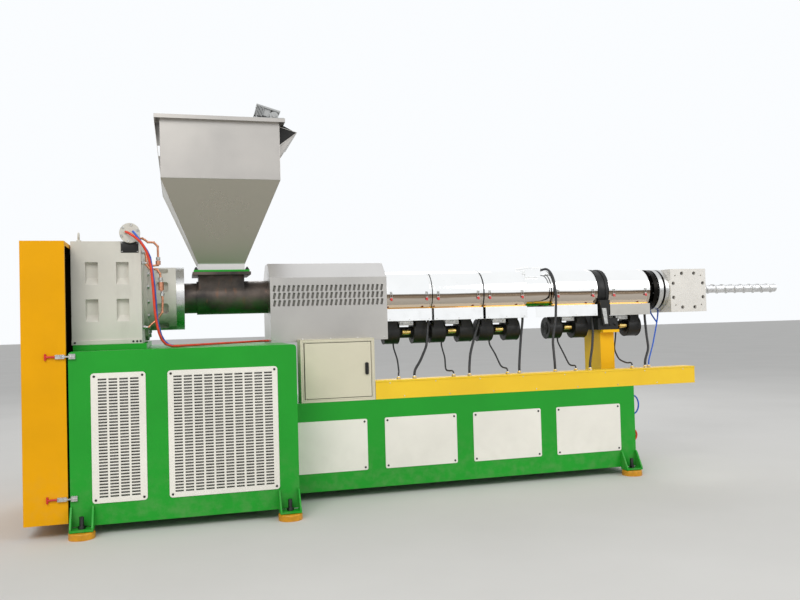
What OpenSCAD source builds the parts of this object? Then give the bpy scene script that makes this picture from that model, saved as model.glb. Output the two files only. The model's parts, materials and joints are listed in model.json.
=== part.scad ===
// Single-screw plastic extruder: belt guard, drive base, gearbox, hopper,
// heated barrel with cooling blowers, control cabinet and long base frame.
// Millimetres. X runs along the screw, the operator side faces -Y, Z is up.
// The origin lies on the floor under the middle of the drive base's depth
// and half way along the machine.

/* [Drive base] */
// Length of the drive base along the machine
drive_w = 1552; // [1300:4:1700]
// Depth of the drive base from the operator side to the rear
drive_d = 1500; // [1400:10:1600]
// Height of the drive base above its bottom edge
drive_h = 1183; // [1160:1:1190]
// Radius of the drive base's upright and top edges
drive_r = 24; // [10:2:40]
// Height of the bottom edge of both bases above the floor
floor_gap = 67; // [60:1:80]

/* [Louvre grilles] */
// Height of both louvre grilles
grille_h = 885; // [800:5:920]
// Height of the grilles' lower edge above the base's bottom edge
grille_z = 146; // [120:2:170]
// Length of the narrow grille
narrow_w = 359; // [340:1:380]
// Length of the wide grille
wide_w = 765; // [740:1:790]
// Distance of the narrow grille from the base's left end
narrow_x = 141; // [120:1:160]
// Distance of the wide grille from the base's left end
wide_x = 646; // [600:1:680]
// Thickness of the grille sheets
grille_t = 4; // [3:0.5:6]
// Width of one louvre slot
slot_w = 56; // [46:1:60]
// Height of one louvre slot
slot_h = 12; // [9:1:14]
// Spacing of the slot columns
slot_dx = 70; // [66:1:74]
// Spacing of the slot rows
slot_dz = 21; // [19:0.2:24]
// Plain margin inside a grille's edge
grille_margin = 36; // [30:1:46]

/* [Belt guard] */
// Width of the belt guard along the machine
guard_w = 280; // [240:2:320]
// Height of the belt guard
guard_h = 1915; // [1850:5:1980]
// Gap under the belt guard
guard_z = 93; // [80:1:110]
// Gap between the belt guard and the drive base
guard_gap = 14; // [8:1:20]
// Sheet thickness of the belt guard
guard_t = 4; // [3:0.5:8]
// Width of the return lip round the guard's open side
guard_lip = 30; // [20:1:45]

/* [Gearbox] */
// Length of the gearbox along the machine
gear_w = 478; // [460:2:490]
// Depth of the gearbox
gear_d = 1000; // [900:10:1060]
// Height of the gearbox
gear_h = 740; // [730:2:760]
// Distance of the gearbox front from the drive base's front
gear_y = 250; // [220:5:280]
// Thickness of the green plate that carries the gearbox
gear_plate_t = 39; // [30:1:44]
// Depth of the casting pockets in the gearbox faces
pocket_t = 34; // [20:1:50]
// Width of a casting pocket
pocket_w = 85; // [70:1:100]
// Height of a casting pocket
pocket_h = 160; // [140:1:180]

/* [Screw line] */
// Height of the screw axis above the floor
axis_z = 1630; // [1622:1:1640]
// Offset of the screw axis from the middle of the drive base's depth
axis_y = 150; // [130:1:165]
// Diameter of the flange that bolts the lantern to the gearbox
lantern_flange_d = 660; // [600:5:660]
// Diameter of the lantern housing
lantern_d = 504; // [460:2:520]
// Length of the lantern housing
lantern_l = 214; // [190:2:240]
// Length of the machined ring after the lantern
ring_l = 62; // [50:1:80]
// Diameter of the barrel
barrel_d = 270; // [250:1:280]
// Diameter of the barrel's neck behind the feed section
neck_d = 245; // [220:1:249]
// Length of the barrel's neck
neck_l = 98; // [80:1:110]
// Length of the bare feed section
feed_l = 568; // [560:2:600]
// Diameter over the screw flights
screw_d = 92; // [86:1:98]
// Diameter of the screw root
screw_root_d = 76; // [70:1:80]
// Pitch of the screw flight
screw_pitch = 104; // [90:1:120]
// Width of the flight's crest along the screw
screw_land = 14; // [10:1:18]
// Length of screw that stands out of the discharge block
screw_out = 954; // [860:2:1000]

/* [Hopper] */
// Side of the square hopper box
hopper_w = 902; // [840:2:940]
// Height of the hopper box
hopper_h = 477; // [430:1:520]
// Height of the hopper's tapered part
cone_h = 640; // [600:2:680]
// Side of the hopper outlet
outlet_w = 362; // [340:1:368]
// Height of the straight neck below the cone
neck_h = 48; // [36:1:60]
// Sheet thickness of the hopper
hopper_t = 5; // [4:0.5:8]
// Width of the rim that stands out round the hopper
rim_out = 43; // [30:1:60]
// Reach of the feed lip on the hopper's right side
lip_out = 150; // [120:2:170]
// Sheet thickness of the feed lip and the skirt
lip_t = 4; // [3:0.5:6]
// Distance of the rim drive's left end from the hopper's right wall
unit_in = 171; // [150:1:200]
// Lean of the rim drive towards the feed lip, in degrees
unit_lean = 16; // [10:1:18]
// Side of the throat flange
throat_flange_w = 455; // [440:1:470]

/* [Heated barrel] */
// Length of the terminal cover
terminal_l = 971; // [940:2:980]
// Depth of the terminal cover
terminal_d = 500; // [460:2:510]
// Height of the terminal cover's upright sides
terminal_side_h = 525; // [515:1:535]
// Height of the terminal cover's sloped top
terminal_top_h = 125; // [110:1:140]
// Sheet thickness of the terminal cover
terminal_t = 3; // [2:0.5:5]
// Number of slanted vents in a row
vent_n = 24; // [20:1:28]
// Height of a slanted vent
vent_h = 50; // [40:1:54]
// Spacing of the vent rows
vent_dz = 60; // [56:1:64]
// Radius of the heater covers
cover_r = 195; // [185:1:200]
// Length of the first heater cover
cover_l1 = 410; // [400:1:412]
// Length of the second heater cover
cover_l2 = 462; // [450:1:466]
// Length of the third heater cover
cover_l3 = 404; // [390:1:410]
// Length of the fourth heater cover
cover_l4 = 443; // [430:1:446]
// Length of the fifth heater cover
cover_l5 = 424; // [410:1:430]
// Gap between neighbouring heater covers
cover_gap = 8; // [6:1:12]
// Length of the vent zone between the third and fourth covers
vent_l = 252; // [240:1:260]
// Width of the barrel clamp between the fourth and fifth covers
clamp_w = 117; // [104:1:124]
// Height of the duct boxes under the heater covers
duct_h = 103; // [90:1:110]
// Diameter of a blower housing
blower_d = 194; // [180:1:200]
// Width of a blower housing
blower_w = 130; // [110:1:136]
// Distance between the two housings of a blower
blower_gap = 126; // [110:1:130]

/* [Discharge end] */
// Length of the joint rings between the barrel and the discharge block
joint_l = 216; // [200:1:230]
// Length of the discharge block
block_w = 382; // [370:1:400]
// Depth of the discharge block
block_d = 400; // [360:2:420]
// Height of the discharge block
block_h = 402; // [380:2:410]
// Bolt circle of the discharge block's face
bolt_circle = 344; // [330:1:350]
// Diameter of a bolt hole in the discharge block's face
bolt_d = 34; // [24:1:36]

/* [Long base] */
// Length of the long base
long_w = 3052; // [3000:2:3080]
// Depth of the long base
long_d = 852; // [820:2:880]
// Height of the long base
long_h = 703; // [690:1:706]
// Length of a blank panel
panel_w = 615; // [580:1:630]
// Height of a blank panel
panel_h = 409; // [380:1:440]
// Spacing of the blank panels
panel_dx = 761; // [740:1:765]
// Number of blank panels on each side
panel_n = 4; // [2:1:4]
// Width and height of the cable trunking
trunk_s = 150; // [140:1:160]
// Length of the cable trunking
trunk_l = 2976; // [2920:2:3000]
// Width of the barrel post
post_w = 140; // [120:1:150]
// Depth of the barrel post
post_d = 300; // [260:2:320]

/* [Control cabinet] */
// Width of the control cabinet
cabinet_w = 602; // [600:1:606]
// Height of the control cabinet
cabinet_h = 500; // [480:1:505]
// Depth of the control cabinet
cabinet_d = 170; // [150:1:170]
// Width of the frame round the cabinet door
cabinet_frame = 26; // [22:1:32]
// Sheet thickness of the cabinet
cabinet_t = 4; // [3:0.5:6]
// Thickness of the cabinet door
door_t = 12; // [10:0.5:16]

/* [Feet] */
// Diameter of a foot pad
pad_d = 172; // [150:1:190]
// Height of a foot pad
pad_h = 46; // [36:1:48]
// Width of a foot bracket
bracket_w = 152; // [140:1:170]
// Reach of a foot bracket
bracket_out = 100; // [90:1:120]
// Height of a foot bracket's gussets above the base's bottom edge
bracket_h = 137; // [110:1:160]

/* [Hidden] */

eps = 0.01;
seat = 0.3;
run_clear = 5;

// Places along the machine, from the left face of the belt guard
gear_inset = 4;
lantern_flange_t = 26;
terminal_gap = 4;
strap_gap = 12;
throat_in = 195;
cabinet_in = 98;
trunk_in = 703;
panel_in = 9;
panel_up = 145;
overall_l = guard_w + guard_gap - gear_inset + gear_w + lantern_flange_t + lantern_l + ring_l
    + 3 * seat + neck_l + feed_l + terminal_l + terminal_gap + cover_l1 + cover_gap + cover_l2
    + strap_gap + cover_l3 + vent_l + cover_l4 + clamp_w + cover_l5 + joint_l + block_w + screw_out;

guard_x = -overall_l / 2;
drive_x = guard_x + guard_w + guard_gap;
gear_x = drive_x - gear_inset;
lantern_x = gear_x + gear_w + seat;
ring_x = lantern_x + lantern_flange_t + lantern_l + seat;
neck_x = ring_x + ring_l + seat;
feed_x = neck_x + neck_l;
terminal_x = feed_x + feed_l;
cover_x1 = terminal_x + terminal_l + terminal_gap;
cover_x2 = cover_x1 + cover_l1 + cover_gap;
cover_x3 = cover_x2 + cover_l2 + strap_gap;
vent_x = cover_x3 + cover_l3;
cover_x4 = vent_x + vent_l;
clamp_x = cover_x4 + cover_l4;
cover_x5 = clamp_x + clamp_w;
joint_x = cover_x5 + cover_l5;
block_x = joint_x + joint_l;
screw_x = block_x + block_w;
COVER_X = [cover_x1, cover_x2, cover_x3, cover_x4, cover_x5];
COVER_L = [cover_l1, cover_l2, cover_l3, cover_l4, cover_l5];

cover_drop = 127;
duct_z = axis_z - cover_drop - seat - duct_h;
outlet_h = 4;
blower_z = duct_z - outlet_h - blower_d / 2;
BLOWER_SHIFT = [3, -24, -24, -24, -24];
function blower_x(i) = COVER_X[i] + COVER_L[i] / 2 + BLOWER_SHIFT[i];

drive_front = -drive_d / 2;
drive_top = floor_gap + drive_h;
long_x = drive_x + drive_w + seat;
long_front = axis_y - long_d / 2;
long_top = floor_gap + long_h;
gear_z = drive_top + gear_plate_t + 2 * seat;
gear_front = drive_front + gear_y;
cabinet_x = long_x + cabinet_in;
cabinet_z = long_top + seat;

module along_x(x, y, z) {
    translate([x, y, z]) rotate([90, 0, 90]) children();
}

module rod_x(x, length, d) {
    along_x(x, axis_y, axis_z) cylinder(d = d, h = length, $fn = 96);
}

module rounded_sheet(w, h, t, r) {
    rotate([90, 0, 0])
        linear_extrude(t)
            rounded_rect(w, h, r);
}

// A rectangle with round corners, from its lower left corner
module rounded_rect(w, h, r) {
    translate([r, 0]) square([w - 2 * r, h]);
    translate([0, r]) square([w, h - 2 * r]);
    for (x = [r, w - r], y = [r, h - r])
        translate([x, y]) circle(r, $fn = 48);
}

// Puts the children on the operator side and again on the rear side of a base
module both_sides(y_mid) {
    children();
    translate([0, 2 * y_mid, 0]) mirror([0, 1, 0]) children();
}

module belt_guard() {
    inner_w = guard_w - 2 * guard_t;
    color("orange")
        difference() {
            translate([guard_x, drive_front, guard_z]) cube([guard_w, drive_d, guard_h]);
            translate([guard_x + guard_t, drive_front + guard_t, guard_z + guard_t])
                cube([inner_w, drive_d - 2 * guard_t, guard_h - 2 * guard_t]);
            translate([guard_x + guard_w - guard_t - eps, drive_front + guard_lip, guard_z + guard_lip])
                cube([guard_t + 1, drive_d - 2 * guard_lip, guard_h - 2 * guard_lip]);
        }
}

clamp_z = [guard_z + 167, guard_z + 1126];
clamp_t = 16;

// Toggle clamps: a latch on the guard and a keeper on the drive base
module clamp_bodies() {
    color("silver")
        both_sides(0)
            for (z = clamp_z) {
                translate([drive_x + 6, drive_front - clamp_t - seat, z - 18]) cube([42, clamp_t, 36]);
                translate([guard_x + guard_w - 66, drive_front - clamp_t - seat, z - 14])
                    cube([60, clamp_t, 28]);
                translate([guard_x + guard_w - 20, drive_front - clamp_t - seat - 8, z - 5])
                    cube([guard_gap + 62, 8, 10]);
            }
}

module clamp_handles() {
    color("red")
        both_sides(0)
            for (z = clamp_z) {
                x = guard_x + guard_w - 66 - seat;
                translate([x, drive_front - seat - 8, z])
                    rotate([0, -90, 0]) cylinder(d = 14, h = 62, $fn = 24);
                translate([x - 62, drive_front - seat - 8, z - 22]) cylinder(d = 14, h = 44, $fn = 24);
            }
}

plate_z = pad_h + 3;
plate_t = 14;
stud_d = 30;

// Welded bracket: a drilled plate just over the pad and two gussets up the base's face
module foot_bracket() {
    t = 12;
    toe = 24;
    drop = floor_gap - plate_z;
    difference() {
        translate([0, -bracket_out, 0]) cube([bracket_w, bracket_out - seat, plate_t]);
        translate([bracket_w / 2, -bracket_out / 2, -1])
            cylinder(d = stud_d + 2 * seat, h = plate_t + 2, $fn = 48);
    }
    for (x = [0, bracket_w - t])
        translate([x, 0, 0])
            rotate([90, 0, 90])
                linear_extrude(t)
                    polygon([[-seat, 0], [-bracket_out, 0], [-bracket_out, toe],
                        [-18, drop + bracket_h], [-seat, drop + bracket_h]]);
}

// Puts the children at each foot: the drive base's four corners and the long base's right end
module at_feet() {
    both_sides(0)
        for (x = [drive_x, drive_x + drive_w - bracket_w])
            translate([x, drive_front, 0]) children();
    both_sides(axis_y)
        translate([long_x + long_w - bracket_w, long_front, 0]) children();
}

module foot_brackets() {
    color("forestgreen") at_feet() translate([0, 0, plate_z]) foot_bracket();
}

module foot_studs() {
    nut_z = plate_z + plate_t + seat;
    stud_up = 80;
    color("dimgray")
        at_feet()
            translate([bracket_w / 2, -bracket_out / 2, 0]) {
                translate([0, 0, pad_h + seat])
                    cylinder(d = stud_d, h = nut_z + stud_up - pad_h, $fn = 48);
                translate([0, 0, nut_z]) cylinder(d = 50, h = 20, $fn = 6);
            }
}

// Pocket behind a grille, so that its slots open into the dark
module grille_pocket(x, w) {
    m = grille_margin - 12;
    translate([drive_x + x + m, drive_front - eps, floor_gap + grille_z + m])
        cube([w - 2 * m, 60, grille_h - 2 * m]);
}

module drive_base() {
    color("forestgreen")
        difference() {
            translate([drive_x, drive_front + drive_d, floor_gap])
                rotate([90, 0, 0]) linear_extrude(drive_d) base_outline();
            both_sides(0) {
                grille_pocket(narrow_x, narrow_w);
                grille_pocket(wide_x, wide_w);
            }
        }
}

// Front outline of the drive base with its two round top corners
module base_outline() {
    square([drive_w, drive_h - drive_r]);
    translate([drive_r, 0]) square([drive_w - 2 * drive_r, drive_h]);
    for (x = [drive_r, drive_w - drive_r])
        translate([x, drive_h - drive_r]) circle(drive_r, $fn = 48);
}

// Moulded round pads under the studs
module levelling_feet() {
    edge = 10;
    color("gold")
        at_feet()
            translate([bracket_w / 2, -bracket_out / 2, 0])
                rotate_extrude($fn = 96) {
                    square([pad_d / 2 - edge, pad_h]);
                    square([pad_d / 2, pad_h - edge]);
                    translate([pad_d / 2 - edge, pad_h - edge]) circle(edge, $fn = 32);
                }
}

module grille(x, w) {
    cols = floor((w - 2 * grille_margin - slot_w) / slot_dx) + 1;
    rows = floor((grille_h - 2 * grille_margin - slot_h) / slot_dz) + 1;
    x0 = (w - (cols - 1) * slot_dx - slot_w) / 2;
    z0 = (grille_h - (rows - 1) * slot_dz - slot_h) / 2;
    translate([drive_x + x, drive_front - seat, floor_gap + grille_z])
        difference() {
            rounded_sheet(w, grille_h, grille_t, 22);
            for (i = [0:cols - 1], j = [0:rows - 1])
                translate([x0 + i * slot_dx, -grille_t - 1, z0 + j * slot_dz])
                    cube([slot_w, grille_t + 2, slot_h]);
        }
}

module narrow_grilles() {
    color("whitesmoke") both_sides(0) grille(narrow_x, narrow_w);
}

module wide_grilles() {
    color("whitesmoke") both_sides(0) grille(wide_x, wide_w);
}

module gearbox_plate() {
    color("forestgreen")
        translate([gear_x + 10, gear_front - 30, drive_top + seat])
            cube([gear_w + 20, gear_d + 60, gear_plate_t]);
}

pocket_x = [96, 306];
pocket_z = [163, 429];

// Casting pocket with a floor that slopes out to the face
module gear_pocket() {
    rise = 46;
    rotate([90, 0, 90])
        linear_extrude(pocket_w)
            polygon([[-1, 0], [0, 0], [pocket_t, rise], [pocket_t, pocket_h], [-1, pocket_h]]);
}

module gearbox() {
    flange_h = 30;
    flange_out = 12;
    color("silver") {
        difference() {
            union() {
                translate([gear_x, gear_front, gear_z]) cube([gear_w, gear_d, gear_h]);
                translate([gear_x, gear_front - flange_out, gear_z])
                    cube([gear_w, gear_d + 2 * flange_out, flange_h]);
            }
            both_sides(gear_front + gear_d / 2)
                for (x = pocket_x, z = pocket_z)
                    translate([gear_x + x, gear_front, gear_z + z]) gear_pocket();
        }
        for (y = [60, gear_d - 60])
            translate([gear_x + 50, gear_front + y, gear_z + gear_h - eps]) eyebolt();
    }
}

module eyebolt() {
    cylinder(d = 36, h = 12, $fn = 48);
    cylinder(d = 16, h = 30, $fn = 32);
    translate([0, 0, 44]) rotate([0, 90, 0]) rotate_extrude($fn = 48) translate([20, 0]) circle(6, $fn = 24);
}

pump_x = gear_x + gear_w - 74;
pump_r = 50;
pump_z = gear_z + gear_h + seat + pump_r + 8;
pump_front = gear_front - 24;

// Oil pump on the gearbox: body, bolted round cover and base block
module lube_pump() {
    color("gainsboro") {
        translate([pump_x, pump_front + 20, pump_z])
            rotate([-90, 0, 0]) cylinder(r = pump_r, h = 200, $fn = 64);
        translate([pump_x, pump_front, pump_z]) rotate([-90, 0, 0]) cylinder(r = 72, h = 22, $fn = 64);
        translate([pump_x - 44, pump_front + 50, gear_z + gear_h + seat]) cube([88, 150, pump_r]);
        translate([pump_x - 26, pump_front - 16, pump_z + 6])
            rotate([-90, 0, 0]) cylinder(d = 26, h = 17, $fn = 32);
        translate([pump_x + 10, pump_front + 120, pump_z - 28])
            rotate([0, 90, 0]) cylinder(d = 34, h = 55, $fn = 32);
    }
}

pipe_d = 16;
pipe_x = gear_x + gear_w;
pipe_z = gear_z + gear_h;
// Two oil pipes as [along, up] from the gearbox's top right edge: one from the pump
// over the edge and back into the side, the other down the side with a tee in it
PIPE_A = [[-8.5, 30.3], [8, 30.3], [24, 21], [47, 3], [88, 1], [116, -29], [117, -120], [115, -167],
    [59, -174], [34, -151], [30, -88], [18, -72], [seat, -72]];
PIPE_B = [[seat, -155], [22, -155], [56, -195], [110, -203], [130, -235], [132, -298], [144, -424],
    [140, -518], [99, -575], [63, -606], [44, -626], [seat, -626]];
pipe_a_y = gear_front + 96;
pipe_b_y = gear_front + 62;
tee_z = -326;

bend_swell = 3;

// Straight pipes from point to point, with a slightly fuller bend at each corner
module pipe_run(points, d) {
    for (i = [0:len(points) - 2]) {
        v = points[i + 1] - points[i];
        length = norm(v);
        translate([points[i][0], 0, points[i][1]])
            rotate([0, atan2(v[0], v[1]), 0]) cylinder(d = d, h = length, $fn = 24);
        if (i > 0) translate([points[i][0], 0, points[i][1]]) sphere(d = d + bend_swell, $fn = 24);
    }
}

module oil_pipes() {
    nut_d = 36;
    color("sienna") {
        translate([pipe_x, pipe_a_y, pipe_z]) {
            pipe_run(PIPE_A, pipe_d);
            translate([PIPE_A[6][0] - 0.5, 0, -165]) cylinder(d = nut_d, h = 30, $fn = 6);
        }
        translate([pipe_x, pipe_b_y, pipe_z]) {
            pipe_run(PIPE_B, pipe_d);
            translate([PIPE_B[5][0] + 3, 0, tee_z - 30]) cylinder(d = nut_d + 4, h = 60, $fn = 6);
        }
    }
}

// Lantern housing between the gearbox and the barrel, with round-cornered windows
module lantern() {
    window_l = 92;
    window_w = 84;
    window_t = 40;
    window_in = 62;
    color("lightgray")
        difference() {
            union() {
                rod_x(lantern_x, lantern_flange_t, lantern_flange_d);
                rod_x(lantern_x + lantern_flange_t - eps, lantern_l, lantern_d);
            }
            for (a = [0:40:359])
                along_x(lantern_x + lantern_flange_t + window_in, axis_y, axis_z)
                    rotate([0, 0, a])
                        translate([lantern_d / 2 - window_t, -window_w / 2, 0])
                            rotate([90, 0, 90])
                                linear_extrude(window_t + 10) rounded_rect(window_w, window_l, 20);
        }
}

module lantern_ring() {
    color("silver") {
        rod_x(ring_x, ring_l, lantern_d);
    }
}

throat_z = axis_z + 177;
throat_flange_t = 24;
throat_w = 150;
hopper_x = feed_x + throat_in;

// Bare feed section of the barrel, with its throat block and flange
module feed_barrel() {
    color("dimgray")
        difference() {
            union() {
                rod_x(neck_x, neck_l, neck_d);
                rod_x(feed_x - eps, feed_l + terminal_l, barrel_d);
                translate([hopper_x - outlet_w / 2, axis_y - outlet_w / 2 + 60, axis_z])
                    cube([outlet_w, outlet_w - 120, throat_z - axis_z]);
                translate([hopper_x - throat_flange_w / 2, axis_y - throat_flange_w / 2, throat_z])
                    cube([throat_flange_w, throat_flange_w, throat_flange_t]);
            }
            translate([hopper_x - throat_w / 2, axis_y - throat_w / 2, axis_z])
                cube([throat_w, throat_w, 400]);
        }
}

// Green plate that clamps the hopper neck onto the throat flange
module hopper_flange() {
    z = throat_z + throat_flange_t + seat;
    w = throat_flange_w - 20;
    color("forestgreen")
        difference() {
            translate([hopper_x - w / 2, axis_y - w / 2, z]) cube([w, w, 16]);
            translate([hopper_x - outlet_w / 2 + 20, axis_y - outlet_w / 2 + 20, z - 1])
                cube([outlet_w - 40, outlet_w - 40, 20]);
        }
}

hopper_z = throat_z + throat_flange_t + 16 + 2 * seat;
rim_t = 30;

// Square frustum from side a at the bottom to side b at the top
module frustum(a, b, h) {
    p = [for (s = [[a / 2, 0], [b / 2, h]], c = [[-1, -1], [1, -1], [1, 1], [-1, 1]])
        [c[0] * s[0], c[1] * s[0], s[1]]];
    polyhedron(p, [[0, 1, 2, 3], [4, 5, 1, 0], [5, 6, 2, 1], [6, 7, 3, 2], [7, 4, 0, 3], [7, 6, 5, 4]]);
}

module hopper_form(shrink) {
    a = outlet_w - 2 * shrink;
    b = hopper_w - 2 * shrink;
    over = shrink > 0 ? 10 : 0;
    translate([-a / 2, -a / 2, -over]) cube([a, a, neck_h + over + eps]);
    translate([0, 0, neck_h]) frustum(a, b, cone_h);
    translate([-b / 2, -b / 2, neck_h + cone_h - eps]) cube([b, b, hopper_h + over]);
}

module hopper() {
    rim_w = hopper_w + 2 * rim_out;
    color("silver")
        translate([hopper_x, axis_y, hopper_z])
            difference() {
                union() {
                    hopper_form(0);
                    translate([-rim_w / 2, -rim_w / 2, neck_h + cone_h + hopper_h - rim_t])
                        cube([rim_w, rim_w, rim_t]);
                }
                hopper_form(hopper_t);
            }
}

hopper_top = hopper_z + neck_h + cone_h + hopper_h;
// Bent sheets under the rim: the wide feed lip on the right, a narrow skirt on the left
module feed_lip() {
    lip_l = 0.8 * hopper_w;
    lip_drop = 44;
    lip_h = 172;
    skirt_out = 40;
    skirt_h = 265;
    z = hopper_top - rim_t - seat - lip_t / 2;
    half = hopper_w / 2 + seat + lip_t / 2;
    color("dimgray") {
        translate([hopper_x + half, axis_y + lip_l / 2, z])
            rotate([90, 0, 0])
                linear_extrude(lip_l)
                    bent_sheet([0, 0], [lip_out, -lip_drop], [0, -lip_h], [0, -lip_h - 90]);
        translate([hopper_x - half, axis_y + lip_l / 2, z])
            rotate([90, 0, 0])
                linear_extrude(lip_l)
                    bent_sheet([0, 0], [-skirt_out, -1], [-14, -skirt_h], [0, -skirt_h]);
    }
}

// Sheet section through four points, closed against the hopper wall
module bent_sheet(a, b, c, d) {
    for (p = [[a, b], [b, c], [c, d]])
        sheet_line(p[0], p[1], lip_t);
}

module sheet_line(a, b, t) {
    v = b - a;
    translate(a) rotate(atan2(v[1], v[0])) translate([0, -t / 2]) square([norm(v), t]);
    translate(b) circle(d = t, $fn = 16);
}

// Small finned motor and gear head on the hopper rim, leaning towards the feed lip
module hopper_unit() {
    unit_l = 190;
    unit_d = 100;
    fins_l = 64;
    fin_h = 82;
    rise = 115;
    plate_l = unit_in + rim_out - 5;
    color("gray")
        translate([hopper_x + hopper_w / 2 - unit_in, axis_y - hopper_w / 2 - rim_out + 20,
            hopper_top + seat]) {
            translate([-25, 0, 0]) cube([plate_l + 25, unit_d, 8]);
            translate([-10, 6, 0]) cube([12, unit_d - 12, 46]);
            difference() {
                translate([0, 0, rise]) rotate([0, unit_lean, 0]) {
                    translate([0, 4, -14]) cube([unit_l, unit_d - 8, 14]);
                    translate([3, 12, -fin_h]) cube([fins_l - 6, unit_d - 24, fin_h - 4]);
                    for (i = [0:5]) translate([2 + 11 * i, 0, -fin_h - 8]) cube([5, unit_d, fin_h]);
                    translate([fins_l - 6, 16, -72]) cube([60, unit_d - 32, 62]);
                    translate([152, 6, -52]) rotate([-90, 0, 0]) cylinder(d = 68, h = unit_d - 12, $fn = 64);
                    translate([152, -2, -52]) rotate([-90, 0, 0]) cylinder(d = 30, h = 20, $fn = 32);
                }
                translate([-100, -10, -200]) cube([unit_l + 200, unit_d + 20, 204]);
            }
        }
}

terminal_z = drive_top + seat;
vent_top = 60;

// Section of the terminal cover, drawn in by t on every side
module terminal_profile(t) {
    slope = 150;
    half = terminal_d / 2;
    top = terminal_side_h + terminal_top_h;
    edge = norm([slope, terminal_top_h]);
    side = terminal_side_h - t * (edge - terminal_top_h) / slope;
    flat = half - slope - t * (edge - slope) / terminal_top_h;
    polygon([[t - half, t], [half - t, t], [half - t, side], [flat, top - t], [-flat, top - t],
        [t - half, side]]);
}

// Sheet cover over the first zone's terminals, with three rows of slanted vents
module terminal_cover() {
    pitch = (terminal_l - 40) / vent_n;
    vent_lean = 12;
    color("lightgray")
        difference() {
            along_x(terminal_x, axis_y, terminal_z) linear_extrude(terminal_l) terminal_profile(0);
            along_x(terminal_x + terminal_t, axis_y, terminal_z)
                linear_extrude(terminal_l - 2 * terminal_t) terminal_profile(terminal_t);
            rod_x(terminal_x - 1, terminal_l + 2, barrel_d + 2 * seat);
            both_sides(axis_y)
                for (row = [0:2], i = [0:vent_n - 1])
                    translate([terminal_x + 20 + pitch * i, axis_y - terminal_d / 2 - 1,
                        terminal_z + terminal_side_h - vent_top - vent_h - vent_dz * row])
                        rotate([0, vent_lean, 0]) cube([pitch / 2, terminal_t + 2, vent_h]);
        }
}
module heated_barrel() {
    color("dimgray") {
        rod_x(feed_x + feed_l + terminal_l + seat, joint_x - feed_x - feed_l - terminal_l - seat, barrel_d);
    }
}

band_w = 14;
band_t = 3;

// A round heater cover with a raised band at each end
module cover_solid(x, length, r) {
    rod_x(x, length, 2 * r);
    for (dx = [0, length - band_w])
        rod_x(x + dx, band_w, 2 * (r + band_t));
}

module heater_cover(i) {
    x = COVER_X[i];
    length = COVER_L[i];
    color("whitesmoke")
        difference() {
            cover_solid(x, length, cover_r);
            rod_x(x - 1, length + 2, barrel_d + 2 * seat);
            translate([x - 1, axis_y - 250, axis_z - 300]) cube([length + 2, 500, 300 - cover_drop]);
            both_sides(axis_y)
                translate([x - 1, axis_y - cover_r - 5, axis_z - 26]) cube([length + 2, 9, 4]);
        }
}
module heater_cover_1() { heater_cover(0); }
module heater_cover_2() { heater_cover(1); }
module heater_cover_3() { heater_cover(2); }
module heater_cover_4() { heater_cover(3); }
module heater_cover_5() { heater_cover(4); }

port_x = 30;
port_w = 150;
port_d = 190;
port_up = 26;
port_wall = 8;

// Cover of the vent zone, with the open vent port on top
module vent_cover() {
    r = cover_r - 30;
    port_rim = 12;
    color("whitesmoke")
        difference() {
            union() {
                rod_x(vent_x + 5, vent_l - 10, 2 * r);
                translate([vent_x + port_x, axis_y - port_d / 2, axis_z])
                    cube([port_w, port_d, cover_r + port_up]);
                translate([vent_x + port_x - port_wall, axis_y - port_d / 2 - port_rim,
                    axis_z + cover_r + port_up - port_rim])
                    cube([port_w + 2 * port_wall, port_d + 2 * port_rim, port_rim]);
            }
            rod_x(vent_x, vent_l, barrel_d + 2 * seat);
            translate([vent_x + port_x + port_wall, axis_y - port_d / 2 + port_wall, axis_z])
                cube([port_w - 2 * port_wall, port_d - 2 * port_wall, cover_r + port_up + 10]);
            translate([vent_x - 1, axis_y - 250, axis_z - 300]) cube([vent_l + 2, 500, 300 - cover_drop]);
        }
}

module blower_ducts() {
    color("whitesmoke")
        difference() {
            for (i = [0:4])
                translate([COVER_X[i] + 6, axis_y - cover_r, duct_z])
                    cube([COVER_L[i] - 12, 2 * cover_r, duct_h]);
            rod_x(cover_x1, joint_x - cover_x1, barrel_d + 2 * seat);
        }
}

hub_d = 96;
// One round blower housing with its outlet up to the duct box
module blower_drum(x) {
    translate([x, axis_y, blower_z]) rotate([0, 90, 0]) cylinder(d = blower_d, h = blower_w, $fn = 96);
    translate([x + 20, axis_y - blower_d / 2 + 6, blower_z])
        cube([blower_w - 40, 90, duct_z - seat - blower_z]);
    translate([x - 6, axis_y, blower_z]) rotate([0, 90, 0]) cylinder(d = blower_d * 0.6, h = 8, $fn = 64);
}

module blower(i, drums) {
    middle = blower_x(i);
    left = middle - blower_gap / 2 - blower_w;
    right = middle + blower_gap / 2;
    cut = drums == 2 ? 0 : 30;
    color([0.1, 0.1, 0.1]) {
        if (drums == 2) blower_drum(left);
        blower_drum(right);
        translate([left + blower_w - eps + cut, axis_y, blower_z])
            rotate([0, 90, 0]) cylinder(d = hub_d, h = blower_gap + 2 * eps - cut, $fn = 64);
    }
}
module blower_1() { blower(0, 2); }
module blower_2() { blower(1, 2); }
module blower_3() { blower(2, 2); }
module blower_4() { blower(3, 2); }
module blower_5() { blower(4, 1); }

post_top = axis_z - 360;
post_x = clamp_x + clamp_w / 2 - post_w / 2 + 48;
cap_t = 25;
cap_out = 64;

// Yellow post that carries the barrel, with its cap plate
module barrel_post() {
    color("orange") {
        translate([post_x, axis_y - post_d / 2, long_top + seat])
            cube([post_w, post_d, post_top - cap_t - long_top - seat + eps]);
        translate([post_x - 4, axis_y - post_d / 2 - cap_out, post_top - cap_t])
            cube([post_w + 24, post_d + 2 * cap_out, cap_t]);
    }
}

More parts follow.
